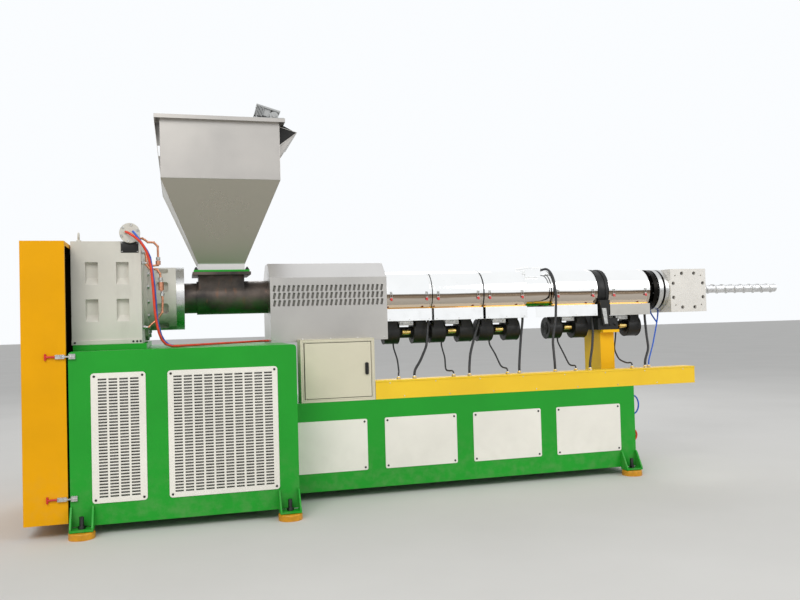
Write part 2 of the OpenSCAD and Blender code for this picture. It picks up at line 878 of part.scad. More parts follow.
// Black clamp round the barrel: a banded ring with an arm down each side to a block on the post
module barrel_clamp() {
    x = clamp_x + 7;
    w = clamp_w - 14;
    edge_w = 28;
    saddle_w = 60;
    block_up = 104;
    block_l = 200;
    block_side = 190;
    arm_out = 21;
    arm_t = 66;
    arm_z = post_top + 42;
    arm_top = axis_z - 90;
    color([0.12, 0.12, 0.12])
        difference() {
            union() {
                rod_x(x, w, 2 * cover_r - 6);
                for (dx = [0, w - edge_w]) rod_x(x + dx, edge_w, 2 * cover_r + 8);
                translate([x, axis_y - saddle_w, post_top + block_up - 1])
                    cube([w, 2 * saddle_w, axis_z - post_top - block_up]);
                translate([x - 8, axis_y - block_side, post_top + seat])
                    cube([block_l, 2 * block_side, block_up]);
                both_sides(axis_y)
                    translate([x, axis_y - cover_r - arm_out + arm_t, 0])
                        rotate([90, 0, 0])
                            linear_extrude(arm_t)
                                polygon([[0, arm_top], [w, arm_top], [w * 0.84, arm_z], [w * 0.28, arm_z]]);
            }
            rod_x(clamp_x, clamp_w, barrel_d + 2 * seat);
        }
}

// Bolted rings between the barrel's end and the discharge block
module joint_rings() {
    color("lightgray") {
        rod_x(joint_x + seat, 50, 2 * cover_r - 60);
        rod_x(joint_x + 50, 40, 2 * cover_r - 8);
        rod_x(joint_x + 89, 20, 2 * cover_r - 50);
        rod_x(joint_x + 108, joint_l - 108 - seat, 2 * cover_r - 8);
    }
}

bush_l = 140;
block_drop = 14;
tap_x = 138;
// Square discharge block with a bore that the screw runs in
module discharge_block() {
    bore_d = screw_d + 2 * run_clear;
    color("gainsboro")
        difference() {
            translate([block_x, axis_y - block_d / 2, axis_z - block_h / 2 - block_drop])
                cube([block_w, block_d, block_h]);
            rod_x(screw_x - 160, 161, bore_d);
            rod_x(screw_x - 160 - bush_l, bush_l + 1, screw_root_d + 2 * seat);
            translate([block_x + block_w / 2, axis_y - block_d / 2 - 1, axis_z - block_drop])
                rotate([-90, 0, 0]) {
                    for (a = [22.5:45:359])
                        rotate(a) translate([bolt_circle / 2, 0, 0]) cylinder(d = bolt_d, h = 41, $fn = 48);
                    for (x = [-1, 1], y = [-1, 1])
                        translate([x * tap_x, y * tap_x, 0]) cylinder(d = 14, h = 26, $fn = 24);
                }
        }
}

// Screw end: plain root in the bush, helical flight and a rounded tip
module extruder_screw() {
    tip_l = 14;
    root_x = screw_x - 160 - bush_l + 2;
    flight_x = screw_x - 120;
    flight_l = screw_out + 120 - tip_l;
    steps = round(flight_l / screw_pitch * 12);
    color("silver") {
        rod_x(root_x, flight_x - root_x + eps, screw_root_d);
        along_x(flight_x, axis_y, axis_z)
            linear_extrude(flight_l, twist = -360 * flight_l / screw_pitch, slices = steps)
                screw_section();
        along_x(flight_x + flight_l - eps, axis_y, axis_z)
            cylinder(d1 = screw_root_d - 2, d2 = screw_root_d * 0.6, h = tip_l, $fn = 48);
    }
}

// Root circle with the flight as a sector whose flanks widen towards the root
module screw_section() {
    half = 180 * screw_land / screw_pitch;
    flank = 7;
    root = screw_root_d / 2 - 1;
    circle(d = screw_root_d, $fn = 20);
    polygon(concat([[0, 0], root * [cos(half + flank), -sin(half + flank)]],
        [for (a = [-half:half / 2:half + 1]) screw_d / 2 * [cos(a), sin(a)]],
        [root * [cos(half + flank), sin(half + flank)]]));
}

module long_base() {
    color("forestgreen")
        translate([long_x, long_front, floor_gap]) cube([long_w, long_d, long_h]);
}

// Blank white panels on both sides of the long base
module base_panels() {
    color("whitesmoke")
        both_sides(axis_y)
            for (i = [0:panel_n - 1])
                translate([long_x + panel_in + panel_dx * i, long_front - seat, floor_gap + panel_up])
                    rounded_sheet(panel_w, panel_h, 3, 14);
}

trunk_x = long_x + trunk_in;
trunk_z = long_top + seat;
trunk_top = trunk_z + trunk_s;
gland_h = 20;
gland_y = long_front + trunk_s / 2;
thin_d = 14;
thick_d = 22;
blue_d = 14;

// A route straight down from a port, over points given from the gland, and straight into the gland
function route(start, points, gland) = concat([start, start - [0, 0, 30]],
    [for (p = points) [trunk_x + gland + p[0], p[1], trunk_top + p[2]]],
    [[trunk_x + gland, gland_y, trunk_top + 64], [trunk_x + gland, gland_y, trunk_top + gland_h + seat]]);

drum_z = blower_z - blower_d / 2 - seat;
hub_z = blower_z - hub_d / 2 - seat;
cover_y = axis_y - cover_r + 65;
function under_drum(i, dx) = [blower_x(i) + dx, axis_y, drum_z];
function under_duct(i) = [COVER_X[i] + COVER_L[i] - 24, cover_y, duct_z - seat];

// Thin cables from the blowers, each with its gland's place on the trunking
THIN_CABLES = [
    route(under_drum(0, -102), [[34, -50, 155], [18, -152, 52], [4, -188, 46]], 214),
    route(under_drum(1, -79), [[-21, -45, 152], [-56, -158, 48], [-24, -186, 44]], 694),
    route(under_drum(2, -72), [[-38, -25, 170], [-36, -150, 58], [-8, -186, 46]], 1182),
    route(under_drum(3, -74), [[-28, -36, 146], [-36, -155, 46], [-9, -188, 40]], 1828),
    route([blower_x(4) - 20, axis_y, hub_z], [[-22, 60, 160], [-34, -40, 72], [-16, -165, 40]], 2386)];
// Thick heater cables from the duct boxes
THICK_CABLES = [
    route(under_duct(0), [[159, -50, 260], [70, -140, 135]], 350),
    route(under_duct(1), [[117, -50, 345], [38, -130, 180]], 835),
    route(under_duct(2), [[92, -50, 320], [30, -150, 150]], 1292),
    route(under_duct(3) - [12, 0, 0], [[125, -48, 356], [70, -125, 205]], 1968),
    route(under_duct(4), [[101, -82, 288], [80, -140, 170]], 2518)];

// The heater cable from the vent port, over the fourth cover's end band and down its front
over_r = cover_r + band_t + thick_d / 2 + 8;
port_end = vent_x + port_x + port_w + seat;
over_gland = 1629;
OVER_CABLE = concat([for (dx = [0, 24]) [port_end + dx, axis_y - 20, axis_z + over_r - 25]],
    [for (a = [8:16:88]) [cover_x4 + 12, axis_y - over_r * sin(a), axis_z + over_r * cos(a)]],
    [[cover_x4 + 14, axis_y - over_r - 4, axis_z - 90], [cover_x4 - 6, axis_y - over_r - 22, duct_z - 30],
        [trunk_x + over_gland + 15, gland_y + 60, trunk_top + 268],
        [trunk_x + over_gland, gland_y, trunk_top + 64],
        [trunk_x + over_gland, gland_y, trunk_top + gland_h + seat]]);
// Blue air tubes: two from the joint's last ring, one down to the trunking
ring_low = axis_z - cover_r + 4 - seat;
BLUE_TUBE = route([block_x - 12, axis_y, ring_low], [[279, 75, 402], [134, -70, 200], [14, -190, 80]], 2555);
BLUE_BRANCH = [[block_x - 96, axis_y, ring_low], [block_x - 96, axis_y, ring_low - 26], BLUE_TUBE[2]];

CABLES = concat(THIN_CABLES, THICK_CABLES, [OVER_CABLE, BLUE_TUBE]);
GLAND_X = [for (p = CABLES) p[len(p) - 1][0]];

module cable_trunking() {
    color("gold") {
        translate([trunk_x, long_front, trunk_z]) cube([trunk_l, trunk_s, trunk_s]);
        for (x = GLAND_X)
            translate([x, gland_y, trunk_top - eps]) cylinder(d = 30, h = gland_h, $fn = 32);
    }
}

door_gap = run_clear;
hinge_gap = 8;
door_w = cabinet_w - 2 * cabinet_frame - hinge_gap - door_gap;
door_h = cabinet_h - 2 * cabinet_frame - 2 * door_gap;
door_x = cabinet_x + cabinet_frame + hinge_gap;
door_z = cabinet_z + cabinet_frame + door_gap;
hinge_d = 6;

module hinge_axis(extra) {
    h = door_gap + 12;
    for (z = [door_z - h, door_z + door_h - 4])
        translate([door_x + door_t / 2, long_front + door_t / 2, z])
            cylinder(d = hinge_d + 2 * extra, h = h + 4, $fn = 32);
}

module control_cabinet() {
    color("beige")
        difference() {
            translate([cabinet_x, long_front, cabinet_z]) cube([cabinet_w, cabinet_d, cabinet_h]);
            translate([cabinet_x + cabinet_t, long_front + door_t + 6, cabinet_z + cabinet_t])
                cube([cabinet_w - 2 * cabinet_t, cabinet_d - door_t - 6 - cabinet_t,
                    cabinet_h - 2 * cabinet_t]);
            translate([cabinet_x + cabinet_frame, long_front - 1, cabinet_z + cabinet_frame])
                cube([cabinet_w - 2 * cabinet_frame, door_t + 8, cabinet_h - 2 * cabinet_frame]);
            hinge_axis(seat);
        }
}

module cabinet_door() {
    color("beige") {
        translate([door_x, long_front, door_z]) cube([door_w, door_t, door_h]);
        hinge_axis(0);
    }
}

module door_handle() {
    color("black")
        translate([door_x + door_w - 50, long_front - seat, door_z + door_h * 0.4])
            rotate([90, 0, 0]) linear_extrude(10) rounded_rect(28, 98, 12);
}

// Unit tangents at the points of a route
function tangents(p) = [for (i = [0:len(p) - 1])
    let (v = p[min(i + 1, len(p) - 1)] - p[max(i - 1, 0)]) v / norm(v)];

// A side direction at each point, carried along the route without twist
function sides_along(t, i) = i == 0
    ? [unit(cross(abs(t[0][1]) > 0.9 ? [1, 0, 0] : [0, 1, 0], t[0]))]
    : let (before = sides_along(t, i - 1), u = before[i - 1]) concat(before, [unit(u - (u * t[i]) * t[i])]);
function unit(v) = v / norm(v);

// A tube with flat ends swept along the points of a route
module tube(points, d, sides) {
    n = len(points);
    t = tangents(points);
    u = sides_along(t, n - 1);
    rings = [for (i = [0:n - 1], k = [0:sides - 1])
        points[i] + d / 2 * (u[i] * cos(360 * k / sides) + cross(t[i], u[i]) * sin(360 * k / sides))];
    faces = concat(
        [[for (k = [0:sides - 1]) sides - 1 - k]],
        [for (i = [0:n - 2], k = [0:sides - 1]) let (k2 = (k + 1) % sides)
            [i * sides + k, i * sides + k2, (i + 1) * sides + k2, (i + 1) * sides + k]],
        [[for (k = [0:sides - 1]) (n - 1) * sides + k]]);
    polyhedron(rings, faces);
}

module blower_cables() {
    color([0.15, 0.15, 0.15]) {
        for (p = THIN_CABLES) tube(p, thin_d, 8);
        for (p = THICK_CABLES) tube(p, thick_d, 8);
        tube(OVER_CABLE, thick_d, 8);
    }
}

hose_d = 18;
hose_z = drive_top + seat + hose_d / 2 + 0.5;
// Coolant hoses as points from the pump cover's middle: down to the base top and along to the terminal cover
function from_pump(points) = [for (p = points) [pump_x, pump_front, pump_z] + p];
function on_base(points, z) = [for (p = points) [p[0], p[1], z]];
RED_HOSE = concat(from_pump([[-26, -17, 6], [-26, -50, 6], [11, -66, -14], [79, -51, -68], [119, -21, -143],
        [142, -6, -238], [154, 4, -388], [162, 19, -558], [178, 34, -685], [204, 49, -782]]),
    on_base([[pump_x + 245, pump_front + 74], [terminal_x - 720, axis_y - 570]], hose_z),
    [[terminal_x - 60, axis_y - 58, hose_z + 6], [terminal_x - 0.5, axis_y - 58, hose_z + 6]]);
BLUE_HOSE = concat(from_pump([[22, -seat, 12], [22, -22, 12], [52, -30, -26], [94, -18, -90], [138, 12, -158],
        [166, 32, -390], [178, 52, -640], [212, 72, -776]]),
    on_base([[pump_x + 262, pump_front + 98], [terminal_x - 720, axis_y - 540]], hose_z),
    [[terminal_x - 60, axis_y - 30, hose_z + 6], [terminal_x - 0.5, axis_y - 30, hose_z + 6]]);

module red_hose() {
    color("orangered") tube(RED_HOSE, hose_d, 10);
}

module blue_hose() {
    color("royalblue") {
        tube(BLUE_HOSE, blue_d, 8);
        tube(BLUE_TUBE, blue_d, 8);
        tube(BLUE_BRANCH, blue_d, 8);
    }
}

belt_guard();
clamp_bodies();
clamp_handles();
drive_base();
foot_brackets();
foot_studs();
levelling_feet();
narrow_grilles();
wide_grilles();
gearbox_plate();
gearbox();
lube_pump();
oil_pipes();
lantern();
lantern_ring();
feed_barrel();
hopper_flange();
hopper();
feed_lip();
hopper_unit();
terminal_cover();
heated_barrel();
heater_cover_1();
heater_cover_2();
heater_cover_3();
heater_cover_4();
heater_cover_5();
vent_cover();
blower_ducts();
blower_1();
blower_2();
blower_3();
blower_4();
blower_5();
barrel_clamp();
joint_rings();
discharge_block();
extruder_screw();
barrel_post();
long_base();
base_panels();
cable_trunking();
control_cabinet();
cabinet_door();
door_handle();
blower_cables();
red_hose();
blue_hose();
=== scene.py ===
"""Looks of the plastic extruder: materials, fasteners, fittings, cables, light and camera."""
import json
import math

import bmesh
import bpy
from mathutils import Matrix, Vector


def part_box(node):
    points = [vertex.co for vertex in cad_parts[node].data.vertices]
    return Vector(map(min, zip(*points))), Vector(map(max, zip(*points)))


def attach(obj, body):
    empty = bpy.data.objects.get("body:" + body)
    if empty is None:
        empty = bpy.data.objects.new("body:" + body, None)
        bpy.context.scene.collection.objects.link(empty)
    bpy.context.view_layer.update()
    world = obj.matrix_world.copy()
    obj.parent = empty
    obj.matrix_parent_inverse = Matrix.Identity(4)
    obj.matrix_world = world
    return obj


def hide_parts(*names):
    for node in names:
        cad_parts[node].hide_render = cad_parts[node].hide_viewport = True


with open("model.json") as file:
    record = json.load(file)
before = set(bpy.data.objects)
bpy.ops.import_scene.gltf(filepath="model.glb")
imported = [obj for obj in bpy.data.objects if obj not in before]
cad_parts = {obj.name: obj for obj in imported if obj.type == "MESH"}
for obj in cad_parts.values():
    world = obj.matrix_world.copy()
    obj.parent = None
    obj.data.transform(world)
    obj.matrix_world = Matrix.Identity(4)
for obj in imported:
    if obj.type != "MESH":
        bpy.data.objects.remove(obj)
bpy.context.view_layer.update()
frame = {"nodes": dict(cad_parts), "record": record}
NODES = frame["nodes"]
MACHINE = "machine"

# Camera: the photograph's viewpoint and lens
CAMERA_AT = (-2.373, -6.611, 1.398)
CAMERA_YAW = math.radians(15.42)
CAMERA_PITCH = math.radians(1.51)
CAMERA_ROLL = math.radians(-1.56)
FOCAL_PIXELS = 803.1
FRAME_WIDTH = 800
SENSOR = 36.0

# Stage: the floor's half width, the surround, and each lamp's place, aim, power and colour
FLOOR_REACH = 90.0
SURROUND = (0.96, 0.98, 1.0, 1)
SURROUND_LIGHT, SURROUND_SEEN = 0.64, 1.0
LAMP_SIZE = 6.0
LAMPS = {"key": ((-6.0, -8.5, 8.5), (-0.5, 0, 1.2), 520, (1.0, 0.98, 0.95)),
         "fill": ((6.0, -7.0, 6.0), (1.0, 0, 1.2), 210, (1, 1, 1)),
         "back": ((1.0, 8.0, 7.0), (0, 0, 1.4), 260, (1, 1, 1))}


def new_object(name, data):
    made = bpy.data.objects.new(name, data)
    bpy.context.scene.collection.objects.link(made)
    return made


def make_camera():
    """A camera where the photograph was taken, with the photograph's lens."""
    ahead = Vector((math.sin(CAMERA_YAW) * math.cos(CAMERA_PITCH),
                    math.cos(CAMERA_YAW) * math.cos(CAMERA_PITCH), math.sin(CAMERA_PITCH)))
    level = Vector((math.cos(CAMERA_YAW), -math.sin(CAMERA_YAW), 0))
    above = level.cross(ahead)
    right = level * math.cos(CAMERA_ROLL) + above * math.sin(CAMERA_ROLL)
    up = above * math.cos(CAMERA_ROLL) - level * math.sin(CAMERA_ROLL)
    data = bpy.data.cameras.new("camera")
    data.sensor_width = SENSOR
    data.lens = FOCAL_PIXELS / FRAME_WIDTH * SENSOR
    camera = new_object("camera", data)
    turn = Matrix((right, up, -ahead)).transposed()
    camera.matrix_world = Matrix.Translation(CAMERA_AT) @ turn.to_4x4()
    bpy.context.scene.camera = camera


def area_light(name, at, aim, power, color):
    data = bpy.data.lights.new(name, "AREA")
    data.shape = "DISK"
    data.size = LAMP_SIZE
    data.energy = power
    data.color = color
    lamp = new_object(name, data)
    lamp.location = at
    lamp.rotation_euler = (Vector(aim) - Vector(at)).to_track_quat("-Z", "Y").to_euler()


def make_stage():
    """Pale floor, soft lamps and a white surround, as under an overcast sky."""
    scene = bpy.context.scene
    scene.view_settings.view_transform = "Standard"
    mesh = bpy.data.meshes.new("floor")
    r = FLOOR_REACH
    mesh.from_pydata([(-r, -r, 0), (r, -r, 0), (r, r, 0), (-r, r, 0)], [], [(0, 1, 2, 3)])
    floor = new_object("floor", mesh)
    paint = Paint("floor_pale", (0.62, 0.61, 0.59), 0.9)
    paint.color = paint.mix(paint.noise(0.7, 4), (0.58, 0.57, 0.55), (0.66, 0.65, 0.63))
    mesh.materials.append(paint.done())

    world = bpy.data.worlds.new("surround")
    scene.world = world
    world.use_nodes = True
    nodes, links = world.node_tree.nodes, world.node_tree.links
    rays = nodes.new("ShaderNodeLightPath").outputs
    seen = rays["Is Camera Ray"]
    for kind in ("Is Glossy Ray", "Is Transmission Ray"):
        either = nodes.new("ShaderNodeMath")
        either.operation = "MAXIMUM"
        links.new(seen, either.inputs[0])
        links.new(rays[kind], either.inputs[1])
        seen = either.outputs[0]
    level = nodes.new("ShaderNodeMapRange")
    level.inputs["To Min"].default_value = SURROUND_LIGHT
    level.inputs["To Max"].default_value = SURROUND_SEEN
    links.new(seen, level.inputs["Value"])
    back = nodes["Background"]
    back.inputs["Color"].default_value = SURROUND
    links.new(level.outputs["Result"], back.inputs["Strength"])
    for name, lamp in LAMPS.items():
        area_light(name, *lamp)


# Materials
MOST_NOISE = (0.3, 0.7)
BEVEL_SAMPLES = 4


class Paint:
    """One procedural material, built up from noise in the object's own metres."""

    def __init__(self, name, color, rough, metal=0.0, edge=0.003, specular=0.5):
        self.material = bpy.data.materials.new(name)
        self.material.use_nodes = True
        self.material.diffuse_color = (*color, 1)
        self.tree = self.material.node_tree
        self.shader = self.tree.nodes["Principled BSDF"].inputs
        for socket, value in (("Base Color", (*color, 1)), ("Roughness", rough),
                              ("Metallic", metal), ("Specular IOR Level", specular)):
            self.shader[socket].default_value = value
        self.place = self.node("TexCoord").outputs["Object"]
        self.color = None
        self.normal = self.bevel(edge)

    def node(self, kind, **values):
        made = self.tree.nodes.new("ShaderNode" + kind)
        for key, value in values.items():
            setattr(made, key, value)
        return made

    def feed(self, source, target):
        """Sets a socket to a number or a colour, or links it to an output."""
        if isinstance(source, tuple):
            target.default_value = (*source, 1)
        elif isinstance(source, (int, float)):
            target.default_value = source
        else:
            self.tree.links.new(source, target)

    def bevel(self, radius):
        """The surface's direction with its sharp edges rounded."""
        made = self.node("Bevel", samples=BEVEL_SAMPLES)
        made.inputs["Radius"].default_value = radius
        return made.outputs["Normal"]

    def noise(self, scale, detail=3, stretch=(1, 1, 1)):
        """Noise of that many waves a metre, stretched along the axes."""
        mapping = self.node("Mapping")
        mapping.inputs["Scale"].default_value = [scale / s for s in stretch]
        self.feed(self.place, mapping.inputs["Vector"])
        tex = self.node("TexNoise")
        tex.inputs["Scale"].default_value = 1.0
        tex.inputs["Detail"].default_value = detail
        tex.inputs["Roughness"].default_value = 0.55
        self.feed(mapping.outputs["Vector"], tex.inputs["Vector"])
        return tex.outputs["Fac"]

    def span(self, value, start, end, to_start=0.0, to_end=1.0):
        """Value remapped from start..end to to_start..to_end, and clamped."""
        made = self.node("MapRange")
        for socket, number in (("From Min", start), ("From Max", end), ("To Min", to_start),
                               ("To Max", to_end)):
            made.inputs[socket].default_value = number
        self.feed(value, made.inputs["Value"])
        return made.outputs["Result"]

    def math(self, kind, a, b):
        made = self.node("Math", operation=kind)
        self.feed(a, made.inputs[0])
        self.feed(b, made.inputs[1])
        return made.outputs[0]

    def times(self, product, *factors):
        for factor in factors:
            product = self.math("MULTIPLY", product, factor)
        return product

    def axis(self, letter):
        made = self.node("SeparateXYZ")
        self.feed(self.place, made.inputs[0])
        return made.outputs[letter]

    def mix(self, share, a, b):
        made = self.node("Mix", data_type="RGBA")
        self.feed(share, made.inputs["Factor"])
        self.feed(a, made.inputs[6])
        self.feed(b, made.inputs[7])
        return made.outputs[2]

    def cloud(self, noise, start, end, *to):
        """Noise of these settings, remapped."""
        return self.span(self.noise(*noise), start, end, *to)

    def tint(self, noise, a, b, start=MOST_NOISE[0]):
        """The base colour runs from a to b with the noise."""
        self.color = self.mix(self.cloud(noise, start, MOST_NOISE[1]), a, b)

    def over(self, color, *shares):
        """Lays another colour over the base colour where all the shares are high."""
        self.color = self.mix(self.times(*shares), self.color, color)

    def patches(self, noise, start, end, share, color):
        """Patches of another colour where the noise is high, at most share strong."""
        self.over(color, self.cloud(noise, start, end, 0, share))

    def rough(self, noise, start, end):
        self.feed(self.cloud(noise, *MOST_NOISE, start, end), self.shader["Roughness"])

    def bump(self, noise, strength, distance):
        made = self.node("Bump")
        made.inputs["Strength"].default_value = strength
        made.inputs["Distance"].default_value = distance
        self.feed(self.noise(*noise), made.inputs["Height"])
        self.feed(self.normal, made.inputs["Normal"])
        self.normal = made.outputs["Normal"]

    def edges(self, radius=0.004):
        """1 along sharp edges, 0 on flats."""
        flat, rounded = 0.995, 0.85
        dot = self.node("VectorMath", operation="DOT_PRODUCT")
        self.feed(self.bevel(radius), dot.inputs[0])
        self.feed(self.node("NewGeometry").outputs["Normal"], dot.inputs[1])
        return self.span(dot.outputs["Value"], flat, rounded)

    def inside(self, start, end, fade=0.0005):
        """1 within a box given in the machine's metres, 0 outside. None leaves an end open."""
        share = None
        for letter, a, b in zip("XYZ", start, end):
            for limit, sign in ((a, 1), (b, -1)):
                if limit is None:
                    continue
                step = self.span(self.axis(letter), limit - sign * fade, limit + sign * fade)
                share = step if share is None else self.times(share, step)
        return share

    def layer(self, z0, z1, fade=0.0005):
        """1 between two heights, 0 outside."""
        return self.inside((None, None, z0), (None, None, z1), fade)

    def done(self):
        self.feed(self.color, self.shader["Base Color"])
        self.feed(self.normal, self.shader["Normal"])
        return self.material


def shade(color, factor):
    return tuple(min(1.0, c * factor) for c in color)


def low(node):
    return Vector(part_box(node)[0])


def high(node):
    return Vector(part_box(node)[1])


def ends(node):
    return low(node), high(node)


# Places where a material changes along the machine, in metres
# Box inside the belt guard whose faces get near-black painted shade over the yellow.
GUARD_SHADE_BOX = (low("belt_guard") + Vector((0.002, 0.002, 0.002)),
                high("belt_guard") - Vector((0.001, 0.002, 0.002)))
LANTERN_X = low("lantern").x - 0.0002
SPRAY_HIGH, SPRAY_LOW = 1.55, 1.36
BARREL_SPRAY = (1.64, 1.52)
DUST_HIGH, DUST_FULL = 0.55, 0.05
# Heights of the terminal cover's roof, which gets a painted highlight in the stainless.
ROOF_Z = (low("terminal_cover").z + 0.526, high("terminal_cover").z + 0.001)
# Heights of the hopper's cone, which gets painted shade in the stainless.
CONE_Z = (low("hopper").z + 0.056, high("hopper").z - 0.479)
JOINT_X = low("joint_rings").x
# Near-black bands on the joint: a black ring, and painted shade in the groove between the rings.
BLACK_RING_AND_GROOVE_SHADE = ((JOINT_X - 0.001, JOINT_X + 0.1075), (JOINT_X + 0.150, JOINT_X + 0.172))
BLOCK_X = low("discharge_block").x - 0.001

# Painted reflection of the horizon in the mirror covers: the ground's top, its dark line, the gold
# foot, the ducts
HORIZON_Z = 1.620
GROUND_Z = (HORIZON_Z - 0.116, HORIZON_Z + 0.04)
GROUND_FADE = (HORIZON_Z + 0.004, HORIZON_Z - 0.004)
LINE_TOP = (HORIZON_Z + 0.008, HORIZON_Z + 0.001)
LINE_FOOT = (HORIZON_Z - 0.034, HORIZON_Z - 0.022)
GOLD_Z = (HORIZON_Z - 0.117, HORIZON_Z - 0.105)
# The last duct box, which gets a darker painted reflection.
LAST_DUCT_REFLECTION = ((low("heater_cover_5").x, None, HORIZON_Z - 0.225), (None, None, HORIZON_Z - 0.118))

DUST = (0.36, 0.31, 0.24)
YELLOW = (0.86, 0.40, 0.0)
GREEN = (0.012, 0.34, 0.022)
CAST = (0.67, 0.65, 0.58)
MIRROR = (0.97, 0.97, 0.96)
TURNED = (0.60, 0.60, 0.59)


def sheet_paint(name, color, rough=0.38, dust=0.2, gloss=0.3, grain=0.08, dark=None):
    """Sprayed sheet metal: slight mottling, orange peel, dust low down, pale worn edges, and
    near-black painted shade inside the box given as dark.
    """
    paint = Paint(name, color, rough, specular=gloss)
    paint.tint((1.6, 4), shade(color, 0.93), shade(color, 1.06))
    paint.patches((5.0, 5, (1, 1, 9)), 0.55, 0.85, 0.10, shade(color, 0.8))
    near_floor = paint.span(paint.axis("Z"), DUST_HIGH, DUST_FULL)
    paint.over(DUST, near_floor, paint.cloud((14, 6), 0.42, 0.75), dust)
    scuffs = paint.cloud((60, 4), 0.5, 0.6)
    paint.over(shade(color, 1.7), paint.edges(), scuffs, 0.35)
    # Painted shade: near-black inside the given box, such as the belt guard's inside.
    if dark:
        paint.over((0.02, 0.012, 0.004), paint.inside(*dark))
    paint.rough((9, 4), rough - 0.07, rough + 0.1)
    paint.bump((420, 2), grain, 0.0006)
    paint.bump((1.3, 2), 0.25, 0.004)
    return paint


def cast_paint(name, color):
    """Painted casting: soft sand texture under a thick coat, green overspray on the lantern."""
    paint = Paint(name, color, 0.42, edge=0.006, specular=0.35)
    paint.tint((2.2, 5), shade(color, 0.92), shade(color, 1.05))
    below = paint.span(paint.axis("Z"), SPRAY_HIGH, SPRAY_LOW)
    spray = paint.cloud((13, 6), 0.3, 0.6)
    lantern = paint.inside((LANTERN_X, None, None), (None, None, None))
    paint.over((0.02, 0.14, 0.03), below, spray, lantern)
    paint.patches((7, 6, (1, 1, 3)), 0.56, 0.8, 0.35, (0.30, 0.28, 0.23))
    paint.over(shade(color, 1.25), paint.edges(0.008), 0.3)
    paint.rough((12, 4), 0.34, 0.52)
    paint.bump((160, 4), 0.3, 0.0012)
    paint.bump((6, 3), 0.3, 0.004)
    return paint


def satin_steel(name, color, rough=0.3):
    """Brushed stainless sheet: fine lines, faint smudges, painted shade on the cone under the
    hopper's box, and a painted highlight on the terminal cover's roof.
    """
    paint = Paint(name, color, rough, metal=1.0, edge=0.0025)
    clouds = (2.4, 5)
    paint.tint(clouds, shade(color, 0.94), shade(color, 1.04))
    paint.patches((5, 6, (1, 1, 2.5)), 0.6, 0.85, 0.12, shade(color, 0.55))
    # Painted shade: the downward-facing cone darkened and browned.
    paint.over((0.37, 0.35, 0.28), paint.layer(*CONE_Z), 0.75)
    paint.over((0.45, 0.42, 0.39), paint.layer(CONE_Z[1] + 0.004, None), 0.5)
    # Painted highlight: the terminal cover's roof lightened.
    paint.over((0.80, 0.78, 0.77), paint.layer(*ROOF_Z), 0.5)
    paint.rough(clouds, rough - 0.05, rough + 0.12)
    paint.bump((500, 3, (1, 1, 22)), 0.12, 0.0004)
    paint.bump((1.1, 2), 0.22, 0.006)
    return paint


def mirror_steel(name):
    """Mirror-polished cover sheet with the slight waves of rolled metal, a painted reflection of
    the horizon, and a darker painted reflection on the last duct.
    """
    paint = Paint(name, MIRROR, 0.05, metal=1.0, edge=0.002)
    paint.tint((3, 4), (0.94, 0.94, 0.93), (0.99, 0.99, 0.98))
    paint.patches((22, 6, (1, 1, 0.4)), 0.66, 0.8, 0.25, (0.55, 0.55, 0.53))
    wave = paint.times(paint.cloud((5, 3, (3, 1, 1)), *MOST_NOISE, -1, 1), 0.006)
    height = paint.math("ADD", paint.axis("Z"), wave)
    # Painted reflection: the ground's top, a dark line at the horizon and a gold band, waved with
    # the sheet.
    painted_ground_reflection = paint.times(paint.span(height, *GROUND_FADE), paint.layer(*GROUND_Z))
    paint.over((0.58, 0.50, 0.42), painted_ground_reflection, 0.9)
    painted_line_reflection = paint.times(paint.span(height, *LINE_TOP), paint.span(height, *LINE_FOOT))
    paint.over((0.24, 0.165, 0.10), painted_line_reflection, 0.85)
    paint.over((0.80, 0.50, 0.08), paint.layer(*GOLD_Z, 0.002), 0.7)
    # Painted reflection: the last duct box darker and browner.
    paint.over((0.46, 0.43, 0.37), paint.inside(*LAST_DUCT_REFLECTION), 0.8)
    paint.rough((16, 5), 0.03, 0.11)
    paint.bump((2.6, 1), 0.35, 0.004)
    paint.bump((300, 2, (8, 1, 1)), 0.03, 0.0003)
    return paint


def turned_steel(name, rough=0.27):
    """Machined steel with fine tool lines; a black ring and near-black painted shade in the groove
    between the joint's rings, pale on the block.
    """
    paint = Paint(name, TURNED, rough, metal=1.0, edge=0.0025)
    paint.tint((6, 4), shade(TURNED, 0.85), shade(TURNED, 1.1))
    paint.patches((18, 6), 0.62, 0.8, 0.4, (0.25, 0.22, 0.18))
    # Near-black bands: a black ring, and painted shade in the groove between the joint's rings.
    for start, end in BLACK_RING_AND_GROOVE_SHADE:
        paint.over((0.012, 0.011, 0.010), paint.inside((start, None, None), (end, None, None)))
    block = paint.inside((BLOCK_X, None, None), (None, None, None))
    marks = paint.cloud((9, 5), *MOST_NOISE)
    paint.over(paint.mix(marks, (0.76, 0.73, 0.68), (0.81, 0.78, 0.73)), block)
    stains = paint.cloud((5, 6), 0.62, 0.8, 0, 0.12)
    paint.over((0.42, 0.36, 0.28), block, stains)
    paint.feed(paint.span(block, 0, 1, 1.0, 0.15), paint.shader["Metallic"])
    paint.rough((30, 4), rough - 0.06, rough + 0.12)
    paint.bump((900, 2, (1, 30, 30)), 0.12, 0.0003)
    return paint


